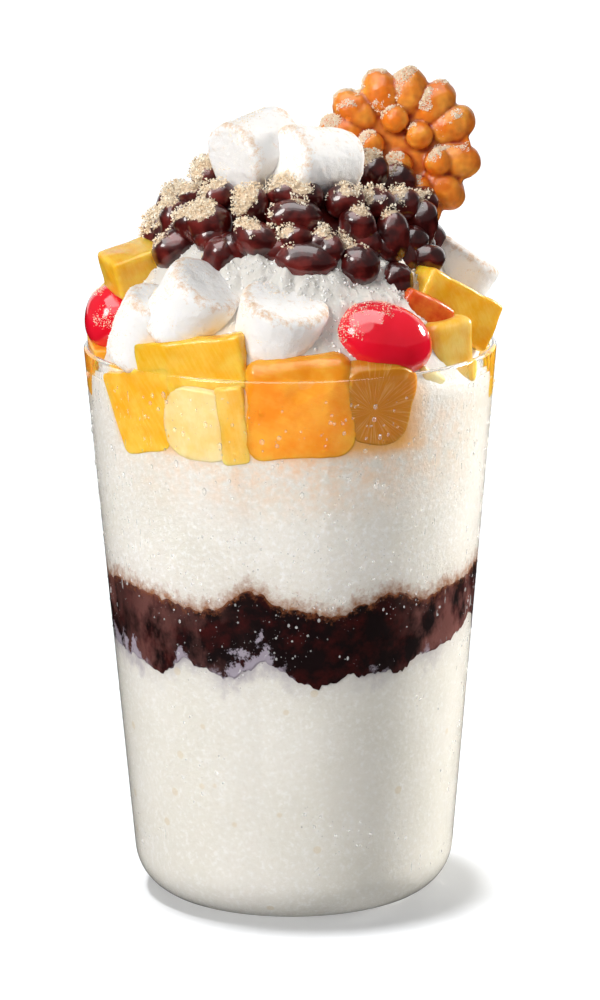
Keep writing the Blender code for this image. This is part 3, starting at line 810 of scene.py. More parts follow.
syrupy = put(tree, "Mix", {FACTOR: among_share.outputs[0], COLOUR_A: tinted.outputs[COLOUR_OUT],
                           COLOUR_B: linear("#F2AE3E")}, data_type="RGBA")
bubbles = put(tree, "TexVoronoi", {"Vector": place, "Scale": 1 / (8 * MM), "Randomness": 1.0})
bubble = put(tree, "MapRange", {"Value": bubbles.outputs["Distance"], "From Min": 0.13, "From Max": 0.10,
                                "To Max": 0.6})
is_below = put(tree, "Math", {0: 1.0, 1: is_above.outputs[0]}, operation="SUBTRACT")
speck_share = put(tree, "Math", {0: bubble.outputs[0], 1: is_below.outputs[0]}, operation="MULTIPLY")
specked = put(tree, "Mix", {FACTOR: speck_share.outputs[0], COLOUR_A: syrupy.outputs[COLOUR_OUT],
                            COLOUR_B: linear("#DCC9A6")}, data_type="RGBA")
duller = put(tree, "Math", {0: is_below.outputs[0], 1: 0.35}, operation="MULTIPLY")
creamy = put(tree, "Mix", {FACTOR: duller.outputs[0], COLOUR_A: specked.outputs[COLOUR_OUT],
                           COLOUR_B: linear("#E2E0D9")}, data_type="RGBA")
# Painted light: from 122 to 127 mm up, the colour turns whiter and stands for light on the open mound.
corner = put(tree, "SeparateXYZ", {"Vector": place})
painted_light_over_rim = put(tree, "MapRange", {"Value": corner.outputs["Z"], "From Min": 122 * MM, "From Max": 127 * MM,
                              "To Max": 0.75})
with_painted_light_over_rim = put(tree, "Mix", {FACTOR: painted_light_over_rim.outputs[0], COLOUR_A: creamy.outputs[COLOUR_OUT],
                          COLOUR_B: linear("#FFFBF4")}, data_type="RGBA")
low_grains = put(tree, "Math", {0: grains.outputs["Distance"], 1: 0.4}, operation="MULTIPLY")
heights = put(tree, "Math", {0: low_grains.outputs[0], 1: flecks.outputs[0]}, operation="ADD")
grain_depth = put(tree, "MapRange", {"Value": is_above.outputs[0], "To Min": 0.18, "To Max": 0.36})
bump = put(tree, "Bump", {"Height": heights.outputs[0], "Strength": grain_depth.outputs[0],
                          "Distance": 0.6 * MM})
ice_shader = put(tree, "BsdfPrincipled", {
    "Base Color": with_painted_light_over_rim.outputs[COLOUR_OUT], "Roughness": 0.4, "IOR": 1.31,
    "Subsurface Weight": 0.25, "Subsurface Radius": (1.0, 0.9, 0.8), "Subsurface Scale": 1.2 * MM,
    "Normal": bump.outputs[0]})
put(tree, "OutputMaterial", {"Surface": ice_shader.outputs[0]})
show(lower_ice, milk_ice, "milk_ice", "lower_milk_ice")
show(upper_ice, milk_ice, "milk_ice", "upper_milk_ice")

# %% [markdown]
# Red bean paste is beans boiled down with sugar: nearly black, with crushed skins in it that show
# dark red, and wet enough to shine.

# %% Sweet bean paste
bean_paste, tree, place = new_material("sweet red bean paste")
mash = put(tree, "TexNoise", {"Vector": place, "Scale": 1 / (5 * MM), "Detail": 5.0,
                              "Roughness": 0.65})
skins = put(tree, "MapRange", {"Value": mash.outputs[0], "From Min": 0.47, "From Max": 0.68})
dark = put(tree, "Mix", {FACTOR: skins.outputs[0], COLOUR_A: linear("#0E0001"),
                         COLOUR_B: linear("#3C0806")}, data_type="RGBA")
film_way = put(tree, "Mapping", {"Vector": place, "Scale": (1.0, 1.0, 0.7)})
film = put(tree, "TexNoise", {"Vector": film_way.outputs[0], "Scale": 1 / (8 * MM), "Detail": 5.0,
                              "Roughness": 0.6})
film_patch = put(tree, "MapRange", {"Value": film.outputs[0], "From Min": 0.42, "From Max": 0.58,
                                    "To Max": 0.95})
film_note = put(tree, "Attribute", {}, attribute_name="film")
film_share = put(tree, "Math", {0: film_patch.outputs[0], 1: film_note.outputs["Fac"]},
                 operation="MULTIPLY", use_clamp=True)
filmed = put(tree, "Mix", {FACTOR: film_share.outputs[0], COLOUR_A: dark.outputs[COLOUR_OUT],
                           COLOUR_B: linear("#8C5A54")}, data_type="RGBA")

# %% [markdown]
# Milk has run up over the band's lower edge in lilac streaks, and its upper edge is thin and brown.

# %% Milk and brown edges on the paste
streaks = put(tree, "TexNoise", {"Vector": place, "Scale": 1 / (4 * MM), "Detail": 6.0, "Roughness": 0.7})
streak = put(tree, "MapRange", {"Value": streaks.outputs[0], "From Min": 0.36, "From Max": 0.66,
                                "To Min": -1.0, "To Max": 8.5})
up_from_low = put(tree, "Attribute", {}, attribute_name="above_low")
milk_note = put(tree, "Attribute", {}, attribute_name="milk")
ran_in = put(tree, "Math", {0: streak.outputs[0], 1: milk_note.outputs["Fac"]}, operation="MULTIPLY")
milk_reach = put(tree, "Math", {0: ran_in.outputs[0], 1: up_from_low.outputs["Fac"]},
                 operation="SUBTRACT")
milk = put(tree, "MapRange", {"Value": milk_reach.outputs[0], "From Min": 0.2, "From Max": 2.2,
                              "To Max": 0.9})
milky = put(tree, "Mix", {FACTOR: milk.outputs[0], COLOUR_A: filmed.outputs[COLOUR_OUT],
                          COLOUR_B: linear("#B3AAB8")}, data_type="RGBA")
down_from_high = put(tree, "Attribute", {}, attribute_name="below_high")
fringe = put(tree, "TexNoise", {"Vector": place, "Scale": 1 / (1.4 * MM), "Detail": 6.0, "Roughness": 0.75})
frayed = put(tree, "MapRange", {"Value": fringe.outputs[0], "From Min": 0.3, "From Max": 0.7,
                                "To Min": -1.6, "To Max": 2.4})
brown_reach = put(tree, "Math", {0: frayed.outputs[0], 1: down_from_high.outputs["Fac"]},
                  operation="SUBTRACT")
brown = put(tree, "MapRange", {"Value": brown_reach.outputs[0], "From Min": -0.8, "From Max": 1.4,
                               "To Max": 0.8})
edged = put(tree, "Mix", {FACTOR: brown.outputs[0], COLOUR_A: milky.outputs[COLOUR_OUT],
                          COLOUR_B: linear("#8E5230")}, data_type="RGBA")
bump = put(tree, "Bump", {"Height": mash.outputs[0], "Strength": 0.5, "Distance": 0.6 * MM})
paste_shader = put(tree, "BsdfPrincipled", {
    "Base Color": edged.outputs[COLOUR_OUT], "Roughness": 0.5, "IOR": 1.45,
    "Specular IOR Level": 0.15, "Normal": bump.outputs[0]})
put(tree, "OutputMaterial", {"Surface": paste_shader.outputs[0]})
show(paste, bean_paste, "bean_paste", "red_bean_paste")

# %% [markdown]
# ## Fruit
#
# Mango and peach are cut by hand into blocks. Each starts as a cube at its size, is narrowed at
# the bottom, gets its cut edges bevelled, and is turned into place. Whatever stands inside the
# glass is pressed against it: a shrinkwrap keeps every corner inside the wall.

# %% A form the shape of the glass's inside
PRESS_LOW = 60.0 * MM
PRESS_TOP = 170.0 * MM
bpy.ops.object.select_all(action="DESELECT")
bpy.ops.mesh.primitive_cone_add(
    vertices=AROUND, radius1=wall_radius(PRESS_LOW), radius2=FOOT_RADIUS + PRESS_TOP * math.tan(SLOPE),
    depth=PRESS_TOP - PRESS_LOW, location=(0, 0, (PRESS_TOP + PRESS_LOW) / 2))
inside_form = named("inside_form")
settle(inside_form)


def press_to_wall(piece, inset):
    """Keep the piece within the glass, this far in from the glass's outside."""
    wall = piece.modifiers.new("pressed to the glass", "SHRINKWRAP")
    wall.target = inside_form
    wall.wrap_method = "NEAREST_SURFACEPOINT"
    wall.wrap_mode = "INSIDE"
    wall.offset = inset
    apply_modifiers(piece)


# %% [markdown]
# No two cuts of the knife are parallel, so a block narrows towards its bottom, by a share that is
# its own, and soft fruit rounds off at its edges.

# %% Cutting a block
def cut_block(name, middle, size, turns, bottom_share, rounding):
    bpy.ops.object.select_all(action="DESELECT")
    bpy.ops.mesh.primitive_cube_add(size=1.0)
    block = named(name)
    block.scale = [value * MM for value in size]
    bpy.ops.object.transform_apply(location=False, rotation=False, scale=True)
    bpy.ops.object.mode_set(mode="EDIT")
    bpy.ops.mesh.select_all(action="DESELECT")
    bpy.ops.object.mode_set(mode="OBJECT")
    for face in block.data.polygons:
        face.select = face.normal.z < -0.5
    bpy.ops.object.mode_set(mode="EDIT")
    bpy.ops.transform.resize(value=(bottom_share, (1 + bottom_share) / 2, 1))
    bpy.ops.mesh.select_all(action="SELECT")
    bpy.ops.mesh.bevel(offset=rounding * MM, segments=4, affect="EDGES", clamp_overlap=True)
    bpy.ops.object.mode_set(mode="OBJECT")
    block.location = [value * MM for value in middle]
    block.rotation_euler = [math.radians(value) for value in turns]
    settle(block)
    return block


# Middle in mm, width, depth and height in mm, turns about X, Y, Z in degrees, bottom width as a
# share of the top's, rounding in mm and the kind of fruit.
FRUIT = {
    "mango_slab_right": ((34.6, -12.5, 135.4), (21.4, 11.0, 11.5), (0, 29, 30), 1.0, 0.9, "mango"),
    "mango_cube_left": ((-34.4, -8.5, 143.8), (12.6, 10.5, 9.4), (10, -14, 24), 0.92, 0.9, "mango"),
    "orange_chunk_front": ((1.8, -36.0, 118.4), (25.0, 18.0, 23.0), (-4, -3, 3), 0.94, 4.6, "peach"),
    "amber_jelly": ((17.6, -36.2, 119.0), (19.0, 14.0, 19.0), (0, 4, 26), 0.80, 5.8, "jelly"),
    "mango_sliver_front": ((-10.8, -36.0, 115.4), (6.6, 15.0, 17.4), (0, -6, -14), 0.9, 0.9, "pale_mango"),
    "pale_mango_front": ((-18.6, -37.2, 115.0), (18.6, 12.0, 16.8), (0, 3, -25), 0.90, 5.9, "pale_mango"),
    "mango_chunk_left": ((-29.4, -26.6, 115.8), (23.5, 13.0, 18.0), (0, -12, -48), 0.58, 1.6, "mango"),
    "mango_slab_front": ((-19.8, -31.5, 127.2), (26.0, 14.5, 12.0), (0, -9, -20), 1.0, 0.9, "mango"),
    "mango_wedge_right": ((27.6, -28.8, 121.8), (7.6, 8.0, 6.2), (0, 30, 43), 0.6, 0.7, "pale_mango"),
    "pale_mango_right": ((32.8, -20.4, 127.0), (12.4, 10.0, 15.0), (0, -4, 40), 0.95, 1.8, "pale_mango"),
    "mango_chunk_right": ((26.8, -19.6, 133.6), (14.0, 10.5, 12.6), (0, 29, 30), 1.0, 1.4, "peach"),
    "mango_chip_left": ((-40.0, -5.5, 122.0), (13.0, 10.0, 11.5), (0, 12, -80), 0.8, 0.9, "peach"),
    "mango_chip_right": ((40.4, -6.0, 119.6), (9.0, 11.0, 10.0), (0, -4, 82), 0.8, 0.9, "mango"),
    "mango_chunk_back_right": ((35.5, 22.0, 127.5), (15.0, 13.0, 15.0), (8, 10, 122), 0.9, 1.4, "mango"),
    "orange_chunk_back": ((14.0, 37.0, 122.0), (20.0, 14.0, 16.0), (4, -8, 160), 0.9, 1.8, "peach"),
    "mango_slab_back": ((-10.0, 37.0, 124.0), (22.0, 12.0, 15.0), (0, 8, 195), 1.0, 1.0, "mango"),
    "pale_mango_back_left": ((-31.0, 26.0, 123.0), (17.0, 13.0, 16.0), (0, -10, 230), 0.8, 2.6, "pale_mango"),
    "mango_cube_back_left": ((-34.5, 16.0, 134.0), (12.0, 12.0, 11.0), (12, 18, 250), 0.95, 1.0, "mango"),
}
FRUIT_ABOVE_RIM = ("mango_slab_right", "mango_cube_left", "mango_chunk_right", "mango_cube_back_left")

# %% [markdown]
# Ripe mango and peach flesh is wet and lets light in a few millimetres. Fine fibres run along it.

# %% Flesh
def flesh(name, deep, light, scatter, fibre_way, fibre_share=0.4, roughness=0.25):
    """Wet fruit flesh: two tones in soft clouds, with fibres about half a millimetre wide."""
    material, tree, place = new_material(name)
    turned_way = put(tree, "Mapping", {"Vector": place, "Rotation": fibre_way})
    stretched = put(tree, "Mapping", {"Vector": turned_way.outputs[0], "Scale": (1.0, 0.35, 0.06)})
    fibres = put(tree, "TexNoise", {"Vector": stretched.outputs[0], "Scale": 1 / (0.55 * MM),
                                    "Detail": 3.0, "Roughness": 0.6})
    clouds = put(tree, "TexNoise", {"Vector": place, "Scale": 1 / (6 * MM), "Detail": 6.0,
                                    "Roughness": 0.6})
    faint = put(tree, "Math", {0: fibres.outputs[0], 1: fibre_share}, operation="MULTIPLY")
    both = put(tree, "Math", {0: clouds.outputs[0], 1: faint.outputs[0]}, operation="ADD")
    share = put(tree, "MapRange", {"Value": both.outputs[0], "From Min": 0.38 + fibre_share / 2,
                                   "From Max": 0.66 + fibre_share / 2})
    colour = put(tree, "Mix", {FACTOR: share.outputs[0], COLOUR_A: linear(deep),
                               COLOUR_B: linear(light)}, data_type="RGBA")
    bump = put(tree, "Bump", {"Height": both.outputs[0], "Strength": 0.3, "Distance": 0.4 * MM})
    wet = put(tree, "BsdfPrincipled", {
        "Base Color": colour.outputs[COLOUR_OUT], "Roughness": roughness, "IOR": 1.36,
        "Subsurface Weight": 0.7, "Subsurface Radius": scatter, "Subsurface Scale": 3.5 * MM,
        "Coat Weight": 0.2, "Coat Roughness": 0.06, "Normal": bump.outputs[0]})
    put(tree, "OutputMaterial", {"Surface": wet.outputs[0]})
    return material


FLESH = {
    "mango": flesh("ripe mango flesh", "#F4B322", "#FBCB50", (1.0, 0.55, 0.12), (0.3, 0.5, 0.0)),
    "pale_mango": flesh("paler mango flesh", "#F5D288", "#FBE4AE", (1.0, 0.7, 0.35), (0.9, 0.2, 0.0), 0.2),
    "peach": flesh("orange peach flesh", "#EE981C", "#F5B23C", (1.0, 0.5, 0.12), (0.2, 1.2, 0.0), 0.15),
    "olive": flesh("mango near the stone", "#F2BC46", "#FCD678", (1.0, 0.65, 0.25), (0.2, 0.2, 0.0), 0.3),
    # The last flesh is painted shade: the shaded lower face of the right slab, with the cherry's red
    # reflection painted in.
    "painted_shade_face": flesh("peach flesh in painted shade", "#D2501C", "#EC8A34", (1.0, 0.35, 0.1), (0.2, 1.2, 0.0), 0.15),
}

# %% [markdown]
# The amber piece is set fruit jelly with the fine threads of the fruit in it, which run out from
# its middle like spokes. An angle round its middle, stretched into a noise pattern, draws them.

# %% Amber jelly
JELLY_MIDDLE = (17.6 * MM, -36.2 * MM, 118.0 * MM)
jelly, tree, place = new_material("amber fruit jelly")
away = put(tree, "VectorMath", {0: place, 1: JELLY_MIDDLE}, operation="SUBTRACT")
parts = put(tree, "SeparateXYZ", {0: away.outputs[0]})
angle = put(tree, "Math", {0: parts.outputs[0], 1: parts.outputs[2]}, operation="ARCTAN2")
reach = put(tree, "VectorMath", {0: away.outputs[0]}, operation="LENGTH")
around_part = put(tree, "Math", {0: angle.outputs[0], 1: 11.0}, operation="MULTIPLY")
out_part = put(tree, "Math", {0: reach.outputs["Value"], 1: 0.15 / MM}, operation="MULTIPLY")
spoke_at = put(tree, "CombineXYZ", {0: around_part.outputs[0], 1: out_part.outputs[0]})
spokes = put(tree, "TexNoise", {"Vector": spoke_at.outputs[0], "Scale": 1.6, "Detail": 3.0})
threads = put(tree, "MapRange", {"Value": spokes.outputs[0], "From Min": 0.50, "From Max": 0.68,
                                 "To Max": 0.45})
colour = put(tree, "Mix", {FACTOR: threads.outputs[0], COLOUR_A: linear("#CC8624"),
                           COLOUR_B: linear("#EFC47C")}, data_type="RGBA")
bump = put(tree, "Bump", {"Height": spokes.outputs[0], "Strength": 0.3, "Distance": 0.4 * MM})
set_fruit = put(tree, "BsdfPrincipled", {
    "Base Color": colour.outputs[COLOUR_OUT], "Roughness": 0.2, "IOR": 1.38,
    "Subsurface Weight": 0.8, "Subsurface Radius": (1.0, 0.6, 0.2), "Subsurface Scale": 5 * MM,
    "Normal": bump.outputs[0]})
put(tree, "OutputMaterial", {"Surface": set_fruit.outputs[0]})
FLESH["jelly"] = jelly

# %% [markdown]
# Each block gets one even skin, is pressed a little out of true and then pressed to the glass, each
# a hundredth of a millimetre deeper than the one before, so that no two lie in one plane.

# %% Placing the fruit
FRUIT_GRAIN = 0.5 * MM
# mango_chunk_right stands for the right slab's shaded lower face, so it wears that painted shade and red
# reflection.
LOOKS_LIKE = {"mango_sliver_front": "olive", "mango_chunk_right": "painted_shade_face", "pale_mango_right": "olive"}
fruit = {}
for number, (name, cut) in enumerate(FRUIT.items()):
    kind = cut[-1]
    block = cut_block(name + "_cut", *cut[:-1])
    even_skin(block, FRUIT_GRAIN, 4)
    uneven(block, 7 * MM, 0.45 * MM, number)
    if name not in FRUIT_ABOVE_RIM:
        press_to_wall(block, PASTE_INSET - (0.1 - 0.012 * number) * MM)
    show(block, FLESH[LOOKS_LIKE.get(name, kind)], kind, name)
    fruit[name] = block

# %% [markdown]
# ## Marshmallows
#
# A marshmallow is whipped sugar foam, extruded as a rope, dusted and cut, so it is a short
# cylinder with soft edges. A cylinder is bevelled, given an even skin and pressed a little uneven.

# %% Shaping marshmallows
FOAM_GRAIN = 0.45 * MM
EDGE_REACH = 3.0 * MM               # how far dust clings in from a cut edge

# Middle in mm, diameter, length, and the way that the axis points.
MARSHMALLOWS = {
    "marshmallow_top_left": ((-7.0, -8.0, 169.8), 16.6, 15.4, (-0.70, -0.66, -0.18)),
    "marshmallow_top_right": ((5.6, -11.0, 167.5), 15.4, 17.6, (-0.74, -0.64, 0.16)),
    "marshmallow_front_far_left": ((-30.8, -24.0, 132.8), 15.4, 16.2, (0.36, -0.30, 0.88)),
    "marshmallow_front_left": ((-21.2, -29.5, 138.8), 17.2, 15.6, (0.50, -0.36, 0.79)),
    "marshmallow_front": ((-2.0, -34.0, 136.0), 19.2, 12.4, (0.22, -0.34, 0.91)),
    "marshmallow_right": ((37.0, 8.0, 138.4), 16.0, 13.5, (0.55, 0.10, 0.83)),
    "marshmallow_back_left": ((-21.0, 30.0, 138.0), 17.0, 15.5, (-0.30, 0.55, 0.78)),
    "marshmallow_back": ((3.0, 33.5, 136.5), 18.0, 14.5, (0.20, 0.60, 0.77)),
}


def shape_marshmallow(name, middle, diameter, length, axis, number):
    bpy.ops.object.select_all(action="DESELECT")
    bpy.ops.mesh.primitive_cylinder_add(vertices=40, radius=diameter / 2 * MM, depth=length * MM)
    piece = named(name)
    bpy.ops.object.mode_set(mode="EDIT")
    bpy.ops.mesh.select_all(action="DESELECT")
    bpy.ops.object.mode_set(mode="OBJECT")
    for face in piece.data.polygons:
        face.select = abs(face.normal.z) > 0.9
    bpy.ops.object.mode_set(mode="EDIT")
    bpy.ops.mesh.bevel(offset=1.7 * MM, segments=5, profile=0.5, affect="EDGES")
    bpy.ops.object.mode_set(mode="OBJECT")
    piece.location = [value * MM for value in middle]
    piece.rotation_euler = Vector(axis).to_track_quat("Z", "Y").to_euler()
    settle(piece)
    even_skin(piece, FOAM_GRAIN, 4)
    uneven(piece, 8 * MM, 0.5 * MM, number + 40)
    uneven(piece, 1.3 * MM, 0.14 * MM, number + 60)
    along_axis = Vector(axis).normalized()
    values = []
    for corner in piece.data.vertices:
        away = corner.co - Vector(middle) * MM
        along = away.dot(along_axis)
        out = (away - along * along_axis).length
        from_edge = math.hypot(length / 2 * MM - abs(along), diameter / 2 * MM - out)
        values.append(max(0.0, 1 - from_edge / EDGE_REACH) + 0.3 * max(0.0, corner.normal.z))
    keep_note(piece, "edge", values)
    return piece


# %% [markdown]
# Marshmallow is a foam of sugar and gelatine: matt and white, full of fine pores, and soft enough
# inside to scatter light. The dust it was rolled in clings to its cut edges.

# %% Dusted foam
marsh_foam, tree, place = new_material("dusted marshmallow foam")
pores = put(tree, "TexNoise", {"Vector": place, "Scale": 1 / (0.8 * MM), "Detail": 6.0,
                               "Roughness": 0.75})
dust = put(tree, "TexNoise", {"Vector": place, "Scale": 1 / (1.6 * MM), "Detail": 8.0,
                              "Roughness": 0.8})
edge_note = put(tree, "Attribute", {}, attribute_name="edge")
edge_part = put(tree, "Math", {0: edge_note.outputs["Fac"], 1: 0.20}, operation="MULTIPLY")
dusty = put(tree, "Math", {0: dust.outputs[0], 1: edge_part.outputs[0]}, operation="ADD")
dust_share = put(tree, "MapRange", {"Value": dusty.outputs[0], "From Min": 0.60, "From Max": 0.78,
                                    "To Max": 0.8})
colour = put(tree, "Mix", {FACTOR: dust_share.outputs[0], COLOUR_A: linear("#FEFCFA"),
                           COLOUR_B: linear("#DFB78C")}, data_type="RGBA")
bump = put(tree, "Bump", {"Height": pores.outputs[0], "Strength": 0.65, "Distance": 0.4 * MM})
foam = put(tree, "BsdfPrincipled", {
    "Base Color": colour.outputs[COLOUR_OUT], "Roughness": 0.9, "Specular IOR Level": 0.25,
    "Subsurface Weight": 0.3, "Subsurface Radius": (1.0, 0.9, 0.8), "Subsurface Scale": 1.0 * MM,
    "Normal": bump.outputs[0]})
put(tree, "OutputMaterial", {"Surface": foam.outputs[0]})
marshmallows = []
for number, (name, shape) in enumerate(MARSHMALLOWS.items()):
    piece = shape_marshmallow(name + "_foam", *shape, number)
    show(piece, marsh_foam, "marshmallow", name)
    marshmallows.append(piece)

# %% [markdown]
# ## Candied cherries
#
# A candied cherry has soaked in red syrup until its skin is clear and glossy, so it looks like red
# lacquer with a little depth under it: a sharp coat over a smooth base that scatters red light.

# %% Candied cherry
candied, tree, place = new_material("candied cherry")
bloom = put(tree, "TexNoise", {"Vector": place, "Scale": 1 / (6 * MM), "Detail": 2.0})
colour = put(tree, "Mix", {FACTOR: bloom.outputs[0], COLOUR_A: linear("#E00A22"),
                           COLOUR_B: linear("#F41C38")}, data_type="RGBA")
syrup_skin = put(tree, "BsdfPrincipled", {
    "Base Color": colour.outputs[COLOUR_OUT], "Roughness": 0.12, "IOR": 1.45,
    "Subsurface Weight": 0.25, "Subsurface Radius": (1.0, 0.15, 0.1), "Subsurface Scale": 2.0 * MM,
    "Coat Weight": 0.8, "Coat Roughness": 0.03})
put(tree, "OutputMaterial", {"Surface": syrup_skin.outputs[0]})

# %% [markdown]
# The fruit is soft and oval. It starts as a ball, stretched to an oval, and pressed a little out of
# round.

# %% Shaping cherries
# Middle, length, thickness in mm, tilt in the front view and turn from above in degrees.
CHERRIES = {
    "cherry_right": ((20.0, -31.5, 131.6), 22.8, 16.6, 18, 20),
    "cherry_left": ((-37.4, -5.0, 132.6), 18.0, 15.6, -20, 60),
    "cherry_back": ((26.0, 28.0, 134.0), 20.0, 16.0, 8, 40),
}
cherries = []
for number, (name, (spot, length, thickness, tilt, turn)) in enumerate(CHERRIES.items()):
    bpy.ops.object.select_all(action="DESELECT")
    bpy.ops.mesh.primitive_uv_sphere_add(
        segments=64, ring_count=32, radius=0.5, location=[value * MM for value in spot],
        rotation=(0, math.radians(tilt), math.radians(turn)))
    cherry = named(name + "_candied")
    in_order(cherry)
    cherry.scale = (length * MM, thickness * MM, thickness * MM)
    settle(cherry)
    uneven(cherry, 9 * MM, 0.5 * MM, number + 70)
    show(cherry, candied, "cherry", name)
    cherries.append(cherry)

# %% [markdown]
# ## Bubble waffle
#
# A bubble waffle is egg batter baked between two irons with round hollows, so it is a thin plate
# with balls on both sides and longer ones round its edge. The plate and the balls are joined and
# given one skin, which runs over the joints as batter does.

# %% Shaping the waffle
WAFFLE_MIDDLE = Vector((24.6, 9.0, 167.2)) * MM
WAFFLE_RADIUS = 18.6 * MM
WAFFLE_LEAN = math.radians(10)
PLATE_RADIUS = WAFFLE_RADIUS - 2.8 * MM
PLATE_THICK = 4.0 * MM
PETALS = (163, 139, 107, 80, 52, 25, -11, -42, -67, -98, -132, -166)      # degrees round the plate
PETAL_LENGTH = 11.6 * MM
PETAL_DEEP = 9.0 * MM
PETAL_WIDE = 8.6 * MM
BUMP_RADIUS = 3.0 * MM
BUMPS = ((-0.9, 6.6), (-6.4, 1.1), (4.4, 3.0), (-0.2, -3.4), (4.3, -9.0), (-6.2, -6.6), (8.6, -3.0))

bpy.ops.object.select_all(action="DESELECT")
bpy.ops.mesh.primitive_cylinder_add(
    vertices=48, radius=PLATE_RADIUS, depth=PLATE_THICK, rotation=(math.pi / 2, 0, 0))
lumps = [bpy.context.object]
for angle in PETALS:
    way = math.radians(angle)
    reach = WAFFLE_RADIUS - PETAL_LENGTH / 2
    bpy.ops.mesh.primitive_uv_sphere_add(
        segments=24, ring_count=16, radius=0.5, rotation=(0, -way, 0),
        location=(reach * math.cos(way), 0, reach * math.sin(way)))
    bpy.context.object.scale = (PETAL_LENGTH, PETAL_DEEP, PETAL_WIDE)
    lumps.append(bpy.context.object)
for across, up in BUMPS:
    for side in (-1, 1):
        bpy.ops.mesh.primitive_uv_sphere_add(
            segments=24, ring_count=16, radius=BUMP_RADIUS,
            location=(across * MM, side * BUMP_RADIUS, up * MM))
        lumps.append(bpy.context.object)
for lump in lumps:
    lump.select_set(True)
bpy.context.view_layer.objects.active = lumps[0]
bpy.ops.object.join()
waffle = named("bubble_waffle_baked")
settle(waffle)
waffle.rotation_euler = (-WAFFLE_LEAN, 0, 0)
waffle.location = WAFFLE_MIDDLE
settle(waffle)
even_skin(waffle, 0.38 * MM, 3)
uneven(waffle, 3.0 * MM, 0.22 * MM, 5)
print(len(PETALS), "petals and", 2 * len(BUMPS), "balls")

# %% [markdown]
# Egg batter bakes golden where it swells. The creases are painted rust red, as painted shade where
# the balls meet. It is oily, so it shines softly, and light goes a little way into it and comes out
# orange.

# %% Baked batter
baked, tree, place = new_material("baked egg batter")
toast = put(tree, "TexNoise", {"Vector": place, "Scale": 1 / (5 * MM), "Detail": 5.0})
share = put(tree, "MapRange", {"Value": toast.outputs[0], "From Min": 0.38, "From Max": 0.62})
golden = put(tree, "Mix", {FACTOR: share.outputs[0], COLOUR_A: linear("#F08018"),
                           COLOUR_B: linear("#FDA83E")}, data_type="RGBA")
# Painted shade: where the skin curves inwards, in the creases between the balls, the colour turns rust red.
form = put(tree, "NewGeometry", {})
painted_crease_shade = put(tree, "MapRange", {"Value": form.outputs["Pointiness"], "From Min": 0.52,
                                "From Max": 0.455})
with_painted_crease_shade = put(tree, "Mix", {FACTOR: painted_crease_shade.outputs[0], COLOUR_A: golden.outputs[COLOUR_OUT],
                            COLOUR_B: linear("#9C3410")}, data_type="RGBA")
crumb = put(tree, "TexNoise", {"Vector": place, "Scale": 1 / (0.8 * MM), "Detail": 4.0})
bump = put(tree, "Bump", {"Height": crumb.outputs[0], "Strength": 0.35, "Distance": 0.3 * MM})
crust = put(tree, "BsdfPrincipled", {
    "Base Color": with_painted_crease_shade.outputs[COLOUR_OUT], "Roughness": 0.32, "IOR": 1.45,
    "Subsurface Weight": 0.35, "Subsurface Radius": (1.0, 0.35, 0.08), "Subsurface Scale": 2.5 * MM,
    "Normal": bump.outputs[0]})
put(tree, "OutputMaterial", {"Surface": crust.outputs[0]})
show(waffle, baked, "waffle", "bubble_waffle")

# %% [markdown]
# ## Cooked red beans
#
# The heap is single beans over a dark core of syrup and mash. The front ones are placed one by one.
# The others follow a sunflower's spiral, which spreads them evenly, and some are sunk in the core.

# %% Where the beans lie
HEAP_RADIUS = 32.5 * MM
HEAP_DEEP = 0.87
HEAP_PEAK = 166.0 * MM
HEAP_DROP = 22.0 * MM
FILLER_BEANS = 46
FILLER_SPACING = 7.0 * MM
UNDER_BEANS = 34                    # half sunk in the core, behind the others
UNDER_REACH = 17 * MM
GOLDEN_ANGLE = math.pi * (3 - math.sqrt(5))
BEANS = (                           # across, up, length, thickness in mm, turn in degrees
    (-18.0, 163.2, 6.4, 5.8, 0), (-21.3, 159.7, 5.4, 5.0, 0), (-15.2, 160.5, 7.8, 6.0, 10),
    (-17.4, 155.1, 10.0, 8.7, 10), (-23.7, 155.5, 6.5, 5.6, 60), (-25.0, 149.0, 10.4, 8.2, 30),
    (-8.0, 159.3, 8.2, 7.0, 90), (1.3, 161.6, 12.0, 7.1, -5), (1.1, 157.4, 12.0, 7.0, 0),
    (-6.3, 152.8, 10.7, 7.6, -25), (1.3, 152.6, 7.2, 7.0, 90), (3.6, 148.2, 13.5, 8.0, -5),
    (14.7, 155.0, 8.4, 7.8, 90), (12.2, 160.0, 8.4, 7.0, 10), (22.4, 151.9, 11.6, 7.0, 90),
    (28.7, 152.2, 12.2, 6.8, 75), (24.8, 157.6, 7.6, 6.8, 30), (14.8, 146.8, 9.4, 8.9, 70),
    (23.1, 142.8, 8.0, 7.0, 90), (29.7, 146.1, 8.6, 6.0, 0), (19.4, 158.7, 7.8, 6.6, 0),
    (8.4, 149.9, 8.0, 6.2, 60))


def heap_height(across, deep):
    radius = math.hypot(across - HEAP_MIDDLE.x, deep / HEAP_DEEP)
    return HEAP_PEAK - HEAP_DROP * (radius / HEAP_RADIUS) ** 4


def front_of_heap(across, up):
    radius = HEAP_RADIUS * max(0.0, (HEAP_PEAK - up) / HEAP_DROP) ** 0.25
    return -HEAP_DEEP * math.sqrt(max(0.0, radius ** 2 - (across - HEAP_MIDDLE.x) ** 2))


